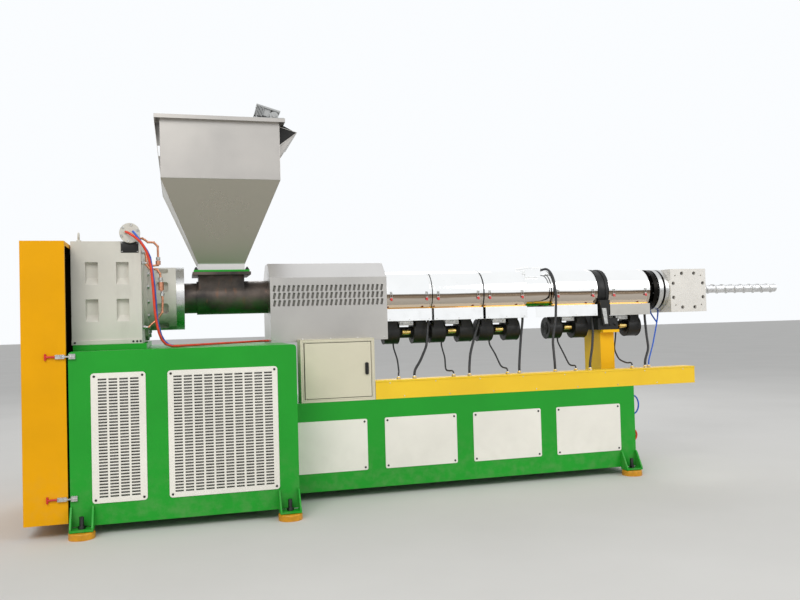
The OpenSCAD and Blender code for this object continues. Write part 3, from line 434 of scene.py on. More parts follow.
def raw_steel(name):
    """Oiled hot steel, brown-black with rust bloom and green overspray underneath."""
    paint = Paint(name, (0.085, 0.07, 0.06), 0.42, metal=0.75, edge=0.004)
    paint.tint((4, 6), (0.045, 0.04, 0.038), (0.16, 0.125, 0.105), 0.35)
    paint.patches((26, 6, (1, 1, 3)), 0.58, 0.75, 0.6, (0.20, 0.10, 0.06))
    spray = paint.cloud((11, 6), 0.35, 0.6)
    below = paint.span(paint.axis("Z"), *BARREL_SPRAY)
    paint.over((0.03, 0.16, 0.035), below, spray, 0.75)
    paint.rough((20, 5), 0.3, 0.6)
    paint.bump((120, 5), 0.3, 0.001)
    return paint


def black_coat(name, rough=0.45):
    """Black enamel or moulded plastic with a dusting of grey."""
    paint = Paint(name, (0.012, 0.012, 0.012), rough, specular=0.35)
    paint.tint((7, 4), (0.008, 0.008, 0.008), (0.017, 0.017, 0.016))
    paint.patches((34, 6), 0.55, 0.8, 0.1, (0.16, 0.15, 0.13))
    paint.rough((18, 4), rough - 0.1, rough + 0.12)
    paint.bump((500, 3), 0.25, 0.0004)
    return paint


def bright_metal(name, color, rough=0.25):
    """Small plated hardware: zinc, brass or copper, its tone varying at random."""
    paint = Paint(name, color, rough, metal=1.0, edge=0.0012)
    paint.tint((40, 4), shade(color, 0.7), shade(color, 1.15))
    paint.rough((70, 4), rough - 0.08, rough + 0.18)
    paint.bump((700, 3), 0.15, 0.0002)
    return paint


def rubber(name, color, rough=0.5):
    """Moulded rubber or hose with a faint bloom."""
    paint = Paint(name, color, rough, edge=0.002)
    paint.tint((25, 4), shade(color, 0.8), shade(color, 1.15))
    paint.patches((60, 5), 0.55, 0.85, 0.2, DUST)
    paint.rough((40, 3), rough - 0.1, rough + 0.12)
    paint.bump((800, 2), 0.15, 0.0003)
    return paint


RECIPES = (
    (sheet_paint, "guard_yellow", YELLOW, 0.38, 0.12, 0.15, 0.08, GUARD_SHADE_BOX),
    (sheet_paint, "base_green", GREEN, 0.36),
    (sheet_paint, "grille_white", (0.89, 0.86, 0.78), 0.4, 0.12),
    (sheet_paint, "trunking_yellow", (0.98, 0.62, 0.03), 0.36),
    (sheet_paint, "cabinet_beige", (0.72, 0.67, 0.52), 0.45, 0.2, 0.3, 0.3),
    (sheet_paint, "louvre_grey", (0.50, 0.50, 0.48)),
    (sheet_paint, "baffle_grey", (0.25, 0.24, 0.22)),
    (sheet_paint, "post_yellow", (0.98, 0.53, 0.01), 0.38, 0.1, 0.2),
    (cast_paint, "gearbox_grey", CAST),
    (cast_paint, "motor_grey", (0.42, 0.43, 0.43)),
    (satin_steel, "stainless", (0.55, 0.53, 0.50)),
    (mirror_steel, "mirror_steel"),
    (turned_steel, "machined_steel"),
    (raw_steel, "raw_steel"),
    (black_coat, "black_paint"),
    (black_coat, "black_plastic", 0.4),
    (bright_metal, "zinc", (0.62, 0.62, 0.6)),
    (bright_metal, "copper", (0.72, 0.33, 0.2), 0.3),
    (bright_metal, "dark_steel", (0.07, 0.07, 0.07), 0.4),
    (bright_metal, "chromed_screw", (0.82, 0.82, 0.82), 0.16),
    (bright_metal, "dark_hardware", (0.05, 0.05, 0.05), 0.4),
    (bright_metal, "brass", (0.75, 0.55, 0.2), 0.25),
    (rubber, "red_plastic", (0.62, 0.02, 0.015), 0.3),
    (rubber, "foot_yellow", (0.66, 0.29, 0.006), 0.4),
    (rubber, "cable_black", (0.02, 0.02, 0.022)),
    (rubber, "hose_red", (0.80, 0.06, 0.02), 0.35),
    (rubber, "hose_blue", (0.02, 0.12, 0.6), 0.35),
    (rubber, "filter_grey", (0.20, 0.20, 0.19), 0.8),
)


# Mesh building
FRONT = Vector((0, -1, 0))
REAR = Vector((0, 1, 0))
UP = Vector((0, 0, 1))
DOWN = Vector((0, 0, -1))
RIGHT = Vector((1, 0, 0))
LEFT = Vector((-1, 0, 0))

# Fasteners as profiles of (radius, height), in shares of the size
WASHER_H = 0.18
WASHER = ((1.06, 0), (1.1, 0.04), (1.1, WASHER_H - 0.04), (1.06, WASHER_H))
HEX_HEAD = ((0.9, 0), (0.9, 0.55), (0.72, 0.66))
SOCKET_HEAD = ((0.78, 0), (0.78, 0.765), (0.702, 0.9), (0.42, 0.9), (0.4032, 0.36), (0.084, 0.27))
DOME_HEAD = ((1, 0), (0.95, 0.3), (0.6, 0.55), (0.25, 0.6), (0.15, 0.35))
SHARP_ANGLE = math.radians(32)


def turns(count, start=0.0):
    """Angles of evenly spread places on a circle."""
    return [2 * math.pi * k / count + start for k in range(count)]


class Shape:
    """Gathers the faces of one piece and turns them into an object."""

    def __init__(self):
        self.bm = bmesh.new()

    def box(self, start, end, bevel, turn=None, segments=2):
        """A box between two corners, with rounded edges."""
        size = [b - a for a, b in zip(start, end)]
        middle = [(a + b) / 2 for a, b in zip(start, end)]
        verts = bmesh.ops.create_cube(self.bm, size=1.0)["verts"]
        bmesh.ops.transform(self.bm, verts=verts,
                            matrix=Matrix.Translation(middle) @ Matrix.Diagonal((*size, 1)))
        edges = list(dict.fromkeys(e for v in verts for e in v.link_edges))
        cut = bmesh.ops.bevel(self.bm, geom=edges, offset=bevel, segments=segments,
                              affect="EDGES", profile=0.5)
        if turn:
            verts = {v for f in cut["faces"] for v in f.verts} | {v for v in verts if v.is_valid}
            bmesh.ops.transform(self.bm, matrix=turn, verts=list(verts))

    def skin(self, rings, ends=True):
        """Walls between neighbouring rings of vertices, closed at both ends."""
        for near, far in zip(rings, rings[1:]):
            for k in range(len(near)):
                k2 = (k + 1) % len(near)
                self.bm.faces.new((near[k], near[k2], far[k2], far[k]))
        if ends:
            self.bm.faces.new(list(reversed(rings[0])))
            self.bm.faces.new(rings[-1])

    def revolve(self, profile, at, axis, sides=32, size=1.0):
        """A closed body of revolution. The profile is (radius, distance along the axis)."""
        spin = Vector(axis).to_track_quat("Z", "Y").to_matrix().to_4x4()
        base = Matrix.Translation(at) @ spin
        self.skin([[self.bm.verts.new(base @ Vector((size * radius * math.cos(t),
                                                     size * radius * math.sin(t), size * along)))
                    for t in turns(sides)] for radius, along in profile])

    def rod(self, at, axis, radius, length, bevel):
        """A straight rod with chamfered ends."""
        self.revolve([(radius - bevel, 0), (radius, bevel), (radius, length - bevel),
                      (radius - bevel, length)], at, axis, 16)

    def bolt(self, at, axis, size, stud=0.0):
        """A hex bolt head on a washer. Size is the thread's diameter."""
        self.revolve(WASHER, at, axis, 24, size)
        top = Vector(at) + Vector(axis).normalized() * size * WASHER_H
        self.revolve(HEX_HEAD, top, axis, 6, size)
        if stud:
            self.rod(top, axis, size * 0.5, stud, size * 0.1)

    def cap_screw(self, at, axis, size):
        """A socket head cap screw with its recess. Size is the thread's diameter."""
        self.revolve(SOCKET_HEAD, at, axis, 24, size)

    def pan_screw(self, at, axis, radius):
        """A low domed screw with a recess."""
        self.revolve(DOME_HEAD, at, axis, 16, radius)

    def tube(self, points, radius, sides=12, ends=True):
        """A round tube swept along points, with its seam kept from twisting."""
        points = [Vector(p) for p in points]
        rings = []
        normal = None
        for i, point in enumerate(points):
            ahead = points[min(i + 1, len(points) - 1)] - points[max(i - 1, 0)]
            ahead.normalize()
            if normal is None:
                normal = ahead.orthogonal().normalized()
            else:
                normal = (normal - ahead * normal.dot(ahead)).normalized()
            side = ahead.cross(normal)
            rings.append([self.bm.verts.new(point + radius * (normal * math.cos(t)
                                                              + side * math.sin(t)))
                          for t in turns(sides)])
        self.skin(rings, ends)

    def plate(self, outline, thick):
        """A flat plate of the given outline, thickened along a vector."""
        self.skin([[self.bm.verts.new(Vector(p) + step) for p in outline]
                   for step in (Vector(), Vector(thick))])

    def ripple(self, x0, x1, z0, z1, y, height, pitch=0.012):
        """An upright mat with fine vertical ribs, closed behind."""
        columns = max(2, int((x1 - x0) / pitch) * 2)
        rings = []
        for i in range(columns + 1):
            x = x0 + (x1 - x0) * i / columns
            out, back = y + height * (i % 2), y + height * 3
            rings.append([self.bm.verts.new((x, *corner)) for corner in
                          ((out, z0), (out, z1), (back, z1), (back, z0))])
        self.skin(rings)

    def piece(self, name, material, body=MACHINE):
        """Makes the object, shades it smooth up to the sharp angle and lets it ride on its body."""
        bmesh.ops.recalc_face_normals(self.bm, faces=self.bm.faces)
        mesh = bpy.data.meshes.new(name)
        self.bm.to_mesh(mesh)
        self.bm.free()
        mesh.shade_smooth()
        mesh.set_sharp_from_angle(angle=SHARP_ANGLE)
        mesh.materials.append(MATERIALS[material])
        made = new_object(name, mesh)
        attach(made, body)


def finish_cad_nodes():
    """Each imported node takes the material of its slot, and the post a warmer yellow."""
    slots = {row["node"]: row["material_slot"] for row in frame["record"]["subparts"]}
    slots["barrel_post"] = "post_yellow"
    for name, made in NODES.items():
        made.data.materials.clear()
        made.data.materials.append(MATERIALS[slots[name]])


# Places and helpers that the details share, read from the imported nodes
AXIS_Y = (low("joint_rings").y + high("joint_rings").y) / 2
AXIS_Z = (low("joint_rings").z + high("joint_rings").z) / 2


def both_faces(front_y, rear_y):
    """The operator face and the rear face of something, with their outward directions."""
    return ((front_y, FRONT), (rear_y, REAR))


def faces(node):
    return both_faces(low(node).y, high(node).y)


def spread(start, end, count):
    """Evenly spread numbers from start to end."""
    return [start + k * (end - start) / (count - 1) for k in range(count)]


def spoke(angle, radius=1.0):
    """A step across the screw axis."""
    return Vector((0, radius * math.cos(angle), radius * math.sin(angle)))


def hoop(middle, radius, sides):
    """A closed ring of points across the screw axis."""
    return [Vector(middle) + spoke(t, radius) for t in (*turns(sides), 2 * math.pi)]


def ring_of(fasten, x, radius, count, size, axis, start):
    """Fasteners on a circle round the screw axis."""
    for t in turns(count, start):
        fasten(Vector((x, AXIS_Y, AXIS_Z)) + spoke(t, radius), axis, size)


def screw_grid(shape, xs, sides, zs, radius):
    """Domed screws at every x and z of the given faces."""
    for x in xs:
        for y, out in sides:
            for z in zs:
                shape.pan_screw((x, y, z), out, radius)


# Cables and hoses: paths, and the easing by their stiffness
EASING_PASSES = 36
HELD_POINTS = 3
FINE_STEP = 0.006
CORD_POINTS = 40


def smooth_path(points, per_span):
    """Points along a Catmull-Rom curve through the given ones."""
    points = [Vector(p) for p in points]
    ends = [points[0] * 2 - points[1], *points, points[-1] * 2 - points[-2]]
    out = []
    for a, b, c, d in zip(ends, ends[1:], ends[2:], ends[3:]):
        for k in range(per_span):
            t = k / per_span
            out.append(0.5 * (2 * b + (c - a) * t + (2 * a - 5 * b + 4 * c - d) * t * t
                              + (3 * b - a - 3 * c + d) * t ** 3))
    return [*out, points[-1]]


def path_length(points):
    return sum((b - a).length for a, b in zip(points, points[1:]))


def even_path(points, count):
    """The given line cut into points at equal distances."""
    step = path_length(points) / (count - 1)
    out, walked, wanted = [points[0]], 0.0, step
    for a, b in zip(points, points[1:]):
        span = (b - a).length
        while span and wanted <= walked + span and len(out) < count - 1:
            out.append(a.lerp(b, (wanted - walked) / span))
            wanted += step
        walked += span
    return [*out, points[-1]]


def relaxed_path(points):
    """The route with its corners eased by the cable's stiffness, still straight at both ends."""
    fine = even_path(points, max(24, int(path_length(points) / FINE_STEP)))
    held = HELD_POINTS
    for _ in range(EASING_PASSES):
        fine = [*fine[:held],
                *[(a + b * 2 + c) / 4
                  for a, b, c in zip(fine[held - 1:], fine[held:-held], fine[held + 1:])],
                *fine[-held:]]
    return even_path(fine, CORD_POINTS)


def make_cord(name, route_mm, diameter, slot, node):
    """A hanging cable or hose: a curve of one open spline that replaces its plain solid."""
    points = relaxed_path([Vector(p) / 1000 for p in route_mm])
    curve = bpy.data.curves.new(name, "CURVE")
    curve.dimensions = "3D"
    curve.bevel_depth = diameter / 2
    curve.bevel_resolution = 3
    curve.use_fill_caps = True
    spline = curve.splines.new("POLY")
    spline.points.add(len(points) - 1)
    for target, point in zip(spline.points, points):
        target.co = (*point, 1)
    spline.use_smooth = True
    curve.materials.append(MATERIALS[slot])
    made = new_object(name, curve)
    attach(made, MACHINE)
    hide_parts(node)


# Routes in millimetres: the start, points on the way, and the gland that they run down to
GLAND_Y = -201.0
GLAND_Z = 940.6
GLAND_RUN = 43.7
PORT_RUN = 30


def route(start, middle, gland):
    """Straight down from a port, over the points, and straight down into a gland."""
    x, y, z = start
    return [start, (x, y, z - PORT_RUN), *middle,
            (gland, GLAND_Y, GLAND_Z + GLAND_RUN), (gland, GLAND_Y, GLAND_Z)]


THIN_CABLES = [
    route((-580.1, 150, 1201.4),
          [(-600.7, -50, 1075.3), (-616.7, -152, 972.3), (-630.7, -188, 966.3)], -634.7),
    route((-140.1, 150, 1201.4),
          [(-175.7, -45, 1072.3), (-210.7, -158, 968.3), (-178.7, -186, 964.3)], -154.7),
    route((312.0, 150, 1201.4),
          [(295.4, -25, 1090.3), (297.4, -150, 978.3), (325.4, -186, 966.3)], 333.4),
    route((985.5, 150, 1201.4),
          [(951.4, -36, 1066.3), (943.4, -155, 966.3), (970.4, -188, 960.3)], 979.4),
    route((1590.0, 150, 1250.4),
          [(1515.4, 60, 1080.3), (1503.4, -40, 992.3), (1521.4, -165, 960.3)], 1537.4)]
THICK_CABLES = [
    route((-300.1, 20, 1399.4), [(-339.7, -50, 1180.3), (-428.7, -140, 1055.3)], -498.7),
    route((170.0, 20, 1399.4), [(103.4, -50, 1265.3), (24.4, -130, 1100.3)], -13.7),
    route((586.0, 20, 1399.4), [(535.4, -50, 1240.3), (473.4, -150, 1070.3)], 443.4),
    route((1269.0, 20, 1399.4), [(1244.4, -48, 1276.3), (1189.4, -125, 1125.3)], 1119.4),
    route((1822.0, 20, 1399.4), [(1770.4, -82, 1208.3), (1749.4, -140, 1090.3)], 1669.4),
    [(790.3, 130, 1822), (814.3, 130, 1822), (874, 119.8, 1844.9), (874, 61.7, 1828.2),
     (874, 10.5, 1796.2), (874, -29.9, 1751.3), (874, -56.4, 1697.1), (874, -66.9, 1637.6),
     (876, -71, 1540), (856, -89, 1369.7), (795.4, -141, 1188.3), (780.4, GLAND_Y, 984.3),
     (780.4, GLAND_Y, GLAND_Z)]]
BLUE_TUBE = route((2050, 150, 1438.7),
                  [(1985.4, 75, 1322.3), (1840.4, -70, 1120.3), (1720.4, -190, 1000.3)], 1706.4)
BLUE_BRANCH = [(1966, 150, 1438.7), (1966, 150, 1412.7), (1985.4, 75, 1322.3)]
RED_HOSE = [
    (-2730, -541, 2093.9), (-2730, -574, 2093.9), (-2693, -590, 2073.9),
    (-2625, -575, 2019.9), (-2585, -545, 1944.9), (-2562, -530, 1849.9),
    (-2550, -520, 1699.9), (-2542, -505, 1529.9), (-2526, -490, 1402.9),
    (-2500, -475, 1305.9), (-2459, -450, 1259.8), (-2381.1, -420, 1259.8),
    (-1721.1, 92, 1265.8), (-1661.6, 92, 1265.8)]
BLUE_HOSE = [
    (-2682, -524.3, 2099.9), (-2682, -546, 2099.9), (-2652, -554, 2061.9),
    (-2610, -542, 1997.9), (-2566, -512, 1929.9), (-2538, -492, 1697.9),
    (-2526, -472, 1447.9), (-2492, -452, 1311.9), (-2442, -426, 1259.8),
    (-2381.1, -390, 1259.8), (-1721.1, 120, 1265.8), (-1661.6, 120, 1265.8)]
THIN_D, THICK_D, RED_D, BLUE_D = 0.014, 0.022, 0.018, 0.014


def add_cords():
    for kind, cables, diameter in (("blower_cable", THIN_CABLES, THIN_D),
                                   ("heater_cable", THICK_CABLES, THICK_D)):
        for n, points in enumerate(cables, 1):
            make_cord(f"{kind}_{n}", points, diameter, "cable_black", "blower_cables")
    make_cord("red_hose_curve", RED_HOSE, RED_D, "hose_red", "red_hose")
    for name, points in (("blue_hose_curve", BLUE_HOSE), ("blue_tube_curve", BLUE_TUBE),
                         ("blue_branch_curve", BLUE_BRANCH)):
        make_cord(name, points, BLUE_D, "hose_blue", "blue_hose")


# Grilles and panels
PANEL_L, PANEL_STEP, PANELS = 0.615, 0.761, 4
PANEL_INSET, PANEL_SCREW = 0.022, 0.0085
SLOT_W, SLOT_DX, SLOT_H, SLOT_DZ = 0.056, 0.070, 0.012, 0.021
SLOT_COLUMNS = {"narrow_grilles": 4, "wide_grilles": 10}
SLOT_ROWS = 39
SHEET_T = 0.0045
LIP_DEEP, LIP_DROP, LIP_T = 0.011, 0.003, 0.0008
MAT_INSET, MAT_RIB = 0.030, 0.0025


def add_panel_screws():
    """Black cross-head screws in the corners of the grilles and blank panels."""
    screws = Shape()
    spans = [(node, low(node).x, high(node).x) for node in SLOT_COLUMNS]
    for k in range(PANELS):
        x0 = low("base_panels").x + k * PANEL_STEP
        spans.append(("base_panels", x0, x0 + PANEL_L))
    for node, x0, x1 in spans:
        screw_grid(screws, (x0 + PANEL_INSET, x1 - PANEL_INSET), faces(node),
                   (low(node).z + PANEL_INSET, high(node).z - PANEL_INSET), PANEL_SCREW)
    screws.piece("panel_screws", "dark_hardware")


def add_grille_backs():
    """Louvre lips in every slot of the grilles, and ribbed grey filter mats behind them."""
    lips, mats = Shape(), Shape()
    for node, columns in SLOT_COLUMNS.items():
        a, b = ends(node)
        x0 = (a.x + b.x - (columns - 1) * SLOT_DX - SLOT_W) / 2
        z0 = (a.z + b.z - (SLOT_ROWS - 1) * SLOT_DZ - SLOT_H) / 2
        for face, out in faces(node):
            inward = -out.y
            near = face + inward * SHEET_T
            far = near + inward * LIP_DEEP
            for i in range(columns):
                for j in range(SLOT_ROWS):
                    left, z = x0 + i * SLOT_DX, z0 + j * SLOT_DZ
                    right, top, foot = left + SLOT_W, z + SLOT_H, z + LIP_DROP
                    lips.plate([(left, near, top), (right, near, top), (right, far, foot),
                                (left, far, foot)], (0, inward * LIP_T, LIP_T))
            mats.ripple(a.x + MAT_INSET, b.x - MAT_INSET, a.z + MAT_INSET, b.z - MAT_INSET,
                        face + inward * MAT_INSET, MAT_RIB)
    lips.piece("grille_louvres", "louvre_grey")
    mats.piece("filter_mats", "filter_grey")


def add_gearbox_details():
    """Bolts along the foot of the gearbox, its bare plate, and the pump's bolts."""
    a, b = ends("gearbox")
    bolts = Shape()
    foot_z, foot_bolt = a.z + 0.016, 0.007
    for x in (a.x + 0.022, b.x - 0.062, b.x - 0.036, b.x - 0.012):
        for y, out in faces("gearbox"):
            bolts.bolt((x, y, foot_z), out, foot_bolt)
    bolts.piece("gearbox_bolts", "dark_hardware")

    plate, pins = Shape(), Shape()
    plate_w, plate_h, pin_inset = 0.122, 0.079, 0.008
    x1, face, top = b.x - 0.016, a.y + 0.012, a.z + 0.736
    x0, z0 = x1 - plate_w, top - plate_h
    plate.box((x0, face - 0.0025, z0), (x1, face - 0.0002, top), 0.0008)
    for x in (x0 + pin_inset, x1 - pin_inset):
        for z in (z0 + pin_inset, top - pin_inset):
            pins.revolve([(0.004, 0), (0.0036, 0.0016), (0.0018, 0.0024)],
                         (x, face - 0.0024, z), FRONT, 16)
    plate.piece("bare_plate", "black_plastic")
    pins.piece("bare_plate_rivets", "zinc")

    pump = Shape()
    centre = Vector((a.x + 0.404, low("lube_pump").y + 0.016, a.z + 0.7983))
    ring, bolt, start = 0.060, 0.010, math.radians(20)
    for t in turns(6, start):
        pump.cap_screw(centre + ring * Vector((math.cos(t), 0, math.sin(t))), FRONT, bolt)
    pump.piece("pump_bolts", "zinc")


def add_lantern_details():
    bolts = Shape()
    ring_of(bolts.bolt, low("lantern").x + 0.026, 0.292, 16, 0.020, RIGHT, 0.1)
    bolts.piece("lantern_flange_bolts", "zinc")


def add_pipe_fittings():
    """Plated compression nuts where the copper pipes turn and end."""
    fittings = Shape()
    nut_h = 0.022
    corner = Vector((high("gearbox").x, low("gearbox").y, low("gearbox").z + 0.740))
    out, inner, outer = 0.0005, 0.108, 0.074
    for x, y, z, axis in ((out, inner, -0.072, RIGHT), (out, outer, -0.155, RIGHT),
                          (out, outer, -0.626, RIGHT), (0.117, inner, -0.108, DOWN),
                          (0.133, outer, -0.262, DOWN), (0.142, outer, -0.400, UP)):
        at = corner + Vector((x, y, z))
        fittings.revolve([(0.0135, 0), (0.0155, 0.002), (0.0155, 0.020), (0.0135, nut_h)],
                         at, axis, 6)
        fittings.revolve([(0.011, 0), (0.011, 0.012), (0.009, 0.015)], at + axis * nut_h, axis, 24)
    fittings.piece("pipe_fittings", "zinc")


HOPPER_HALF = 0.451
HOPPER_BOX_H = 0.477
THROAT_HALF = 0.181
THROAT_PLATE_HALF = 0.2175
LIP_OUT = 0.142
LIP_INNER = 0.150
LIP_LOW = 0.255


def add_hopper_details():
    """Welded seams, studs of the throat flange, the gussets of the feed lip, and black plates at
    the lip's open ends as painted shade.
    """
    a, b = ends("hopper")
    middle = Vector(((a.x + b.x) / 2, AXIS_Y, 0))
    seams = Shape()
    z = b.z - HOPPER_BOX_H
    signs = [Vector((-1, -1, 0)), Vector((1, -1, 0)), Vector((1, 1, 0)), Vector((-1, 1, 0))]
    corners = [middle + HOPPER_HALF * sign + z * UP for sign in signs]
    for start, end in zip(corners, corners[1:] + corners[:1]):
        seams.tube([start, end], 0.0024, 8)
    for sign, corner in zip(signs, corners):
        seams.tube([corner, (corner.x, corner.y, b.z - 0.031)], 0.0022, 8)
        foot = middle + THROAT_HALF * sign + (a.z + 0.048) * UP
        seams.tube([corner, foot], 0.0026, 8)
    seams.piece("hopper_seams", "stainless")

    studs = Shape()
    stud_inset, stud_d, stud_l = 0.018, 0.016, 0.020
    for sign in signs:
        at = middle + (THROAT_PLATE_HALF - stud_inset) * sign + high("hopper_flange").z * UP
        studs.bolt(at, UP, stud_d, stud_l)
    studs.piece("throat_studs", "dark_hardware")

    # Black plates at the feed lip's open ends stand for the shade inside it: painted shade.
    shade_plates, gussets = Shape(), Shape()
    x0 = middle.x + HOPPER_HALF + 0.004
    x1, z = x0 + LIP_OUT, b.z - 0.034
    for y in (low("feed_lip").y + 0.004, high("feed_lip").y - 0.007):
        shade_plates.plate([(x0, y, z + 0.032), (x1, y, z - 0.043), (x0, y, z - LIP_INNER)],
                     (0, 0.003, 0))
        gussets.plate([(x0, y, z - LIP_INNER - 0.002), (x1, y, z - 0.045), (x0, y, z - LIP_LOW)],
                      (0, 0.003, 0))
    shade_plates.piece("lip_shade_plates", "black_paint")
    gussets.piece("lip_gussets", "stainless")


def add_terminal_details():
    """Screws along the foot of the terminal cover, and the folded baffles behind its vents."""
    a, b = ends("terminal_cover")
    screws, baffles = Shape(), Shape()
    screw_grid(screws, spread(a.x + 0.03, b.x - 0.03, 5), faces("terminal_cover"),
               [a.z + 0.022], 0.006)
    for face, out in faces("terminal_cover"):
        baffles.ripple(a.x + 0.012, b.x - 0.012, a.z + 0.275, a.z + 0.505, face - out.y * 0.010,
                       -out.y * 0.006, (b.x - a.x - 0.040) / 24)
    screws.piece("terminal_screws", "zinc")
    baffles.piece("terminal_baffles", "baffle_grey")


# Heater covers and the ducts below them
COVER_R = 0.195
LATCH_INSET = 0.048
LATCH_PIVOT, LATCH_HOOK = -0.034, 0.008
LATCH_TILT = 0.30
WIRE_R = 0.0016
COVERS = [f"heater_cover_{i}" for i in range(1, 6)]


def cover_surface(out, z, lift=0.0):
    """The y of a cover's round side at a height over the screw axis."""
    return AXIS_Y + out.y * (math.sqrt(COVER_R ** 2 - z ** 2) + lift)


def add_latch(metal, grips, x, out):
    """An over-centre latch across a cover's seam: keeper, wire loop, base and red grip."""
    f = out.y
    for half, z0, z1 in ((0.012, -0.053, -0.0275), (0.010, -0.004, 0.018)):
        y0, y1 = cover_surface(out, z0, 0.0003), cover_surface(out, z1, 0.0003)
        z0, z1 = AXIS_Z + z0, AXIS_Z + z1
        metal.plate([(x - half, y0, z0), (x + half, y0, z0), (x + half, y1, z1),
                     (x - half, y1, z1)], (0, f * 0.0025, 0))
    hook_z, pivot_z = AXIS_Z + LATCH_HOOK, AXIS_Z + LATCH_PIVOT
    y0, y1 = sorted((cover_surface(out, LATCH_HOOK), cover_surface(out, LATCH_HOOK, 0.011)))
    metal.box((x - 0.009, y0, hook_z), (x + 0.009, y1, hook_z + 0.004), 0.001)
    y, top = cover_surface(out, LATCH_PIVOT, 0.007), cover_surface(out, LATCH_HOOK, 0.009)
    for side in (-1, 1):
        loop = [(x + side * 0.008, y, pivot_z),
                (x + side * 0.0085, (y + top) / 2 + f * 0.002, (pivot_z + hook_z) / 2),
                (x + side * 0.007, top, hook_z + 0.005)]
        metal.tube(smooth_path(loop, 4), WIRE_R, 8)
    metal.tube([(x - 0.007, top, hook_z + 0.005), (x + 0.007, top, hook_z + 0.005)], WIRE_R, 8)
    metal.rod((x - 0.013, y, pivot_z), RIGHT, 0.0035, 0.026, 0.0005)
    turn = Matrix.Translation((x, y, pivot_z)) @ Matrix.Rotation(f * LATCH_TILT, 4, "X")
    grips.box((-0.010, -0.003, -0.027), (0.010, 0.004, 0.003), 0.0025, turn, 3)


def add_cover_latches():
    metal, grips = Shape(), Shape()
    for node in COVERS:
        for x in (low(node).x + LATCH_INSET, high(node).x - LATCH_INSET):
            for out in (FRONT, REAR):
                add_latch(metal, grips, x, out)
    metal.piece("cover_latches", "zinc")
    grips.piece("latch_grips", "red_plastic")


def add_cover_rivets():
    """Screws along the end bands of the covers and the duct boxes below."""
    screws = Shape()
    band_inset, band_r = 0.007, COVER_R + 0.003
    for node in COVERS:
        for x in (low(node).x + band_inset, high(node).x - band_inset):
            for angle in (18, 52, 90, 128, 162):
                out = spoke(math.radians(180 - angle))
                screws.pan_screw(Vector((x, AXIS_Y, AXIS_Z)) + out * band_r, out, 0.004)
    z = low("blower_ducts").z + 0.014
    for node in COVERS:
        xs = spread(low(node).x + 0.03, high(node).x - 0.03, 3)
        screw_grid(screws, xs, faces("blower_ducts"), [z], 0.005)
    screws.piece("cover_screws", "zinc")


BLOWER_R, BLOWER_W, BLOWER_GAP = 0.097, 0.130, 0.126
GRID_RINGS = (0.016, 0.028, 0.040, 0.052)
GRID_OUT = 0.0065
BRACKET_HALF_Y = 0.080
LAST_MOTOR_SHIFT = 0.016


def add_blower_details():
    """Intake grids, flange screws, plated motor shells and top brackets of the blowers."""
    dark, shells, brackets = Shape(), Shape(), Shape()
    z = low("blower_2").z + BLOWER_R
    half = BLOWER_GAP / 2
    for i in range(1, 6):
        centre = high(f"blower_{i}").x - BLOWER_W - half
        lefts = [centre + half] if i == 5 else [centre - half - BLOWER_W, centre + half]
        for x in lefts:
            middle = Vector((x - GRID_OUT, AXIS_Y, z))
            for ring in GRID_RINGS:
                dark.tube(hoop(middle, ring, 32), 0.0014, 6, False)
            for t in turns(4, math.pi / 4):
                way = spoke(t)
                dark.tube([middle + way * 0.008, middle + way * 0.060], 0.0016, 6)
                for side, face in ((x, LEFT), (x + BLOWER_W, RIGHT)):
                    dark.pan_screw(Vector((side, AXIS_Y, z)) + way * 0.086, face, 0.005)
            for edge in (x + 0.004, x + BLOWER_W - 0.004):
                dark.tube(hoop((edge, AXIS_Y, z), BLOWER_R + 0.0005, 64), 0.0022, 6, False)
        x0 = centre - 0.039 + (LAST_MOTOR_SHIFT if i == 5 else 0)
        shells.revolve([(0.016, 0), (0.020, 0.004), (0.021, 0.008), (0.021, 0.068), (0.020, 0.072),
                        (0.016, 0.076)], (x0, AXIS_Y - 0.066, z + 0.002), RIGHT, 40)
        for x in (centre - 0.03, centre + 0.03):
            shells.box((x - 0.004, AXIS_Y - 0.060, z - 0.006),
                       (x + 0.004, AXIS_Y - 0.044, z + 0.010), 0.001)
        x0, x1 = centre - half + 0.002, centre + half - 0.002
        top = low("blower_ducts").z - 0.002
        front = AXIS_Y - BRACKET_HALF_Y
        brackets.box((x0, front, top - 0.004), (x1, AXIS_Y + BRACKET_HALF_Y, top), 0.001)
        for y in (front, AXIS_Y + BRACKET_HALF_Y - 0.003):
            brackets.box((x0, y, top - 0.038), (x1, y + 0.003, top), 0.001)
        for x in (centre - 0.04, centre + 0.04):
            brackets.bolt((x, front, top - 0.020), FRONT, 0.006)
    dark.piece("blower_fittings", "black_plastic")
    shells.piece("blower_motor_shells", "brass")
    brackets.piece("blower_brackets", "zinc")


CLAMP_HALF_Y, STRIP_HALF_Y = 0.190, 0.216
STRIP_TOP, STRIP_FOOT = 1.466, 1.325
STRAP_BEFORE_COVER = 0.01175


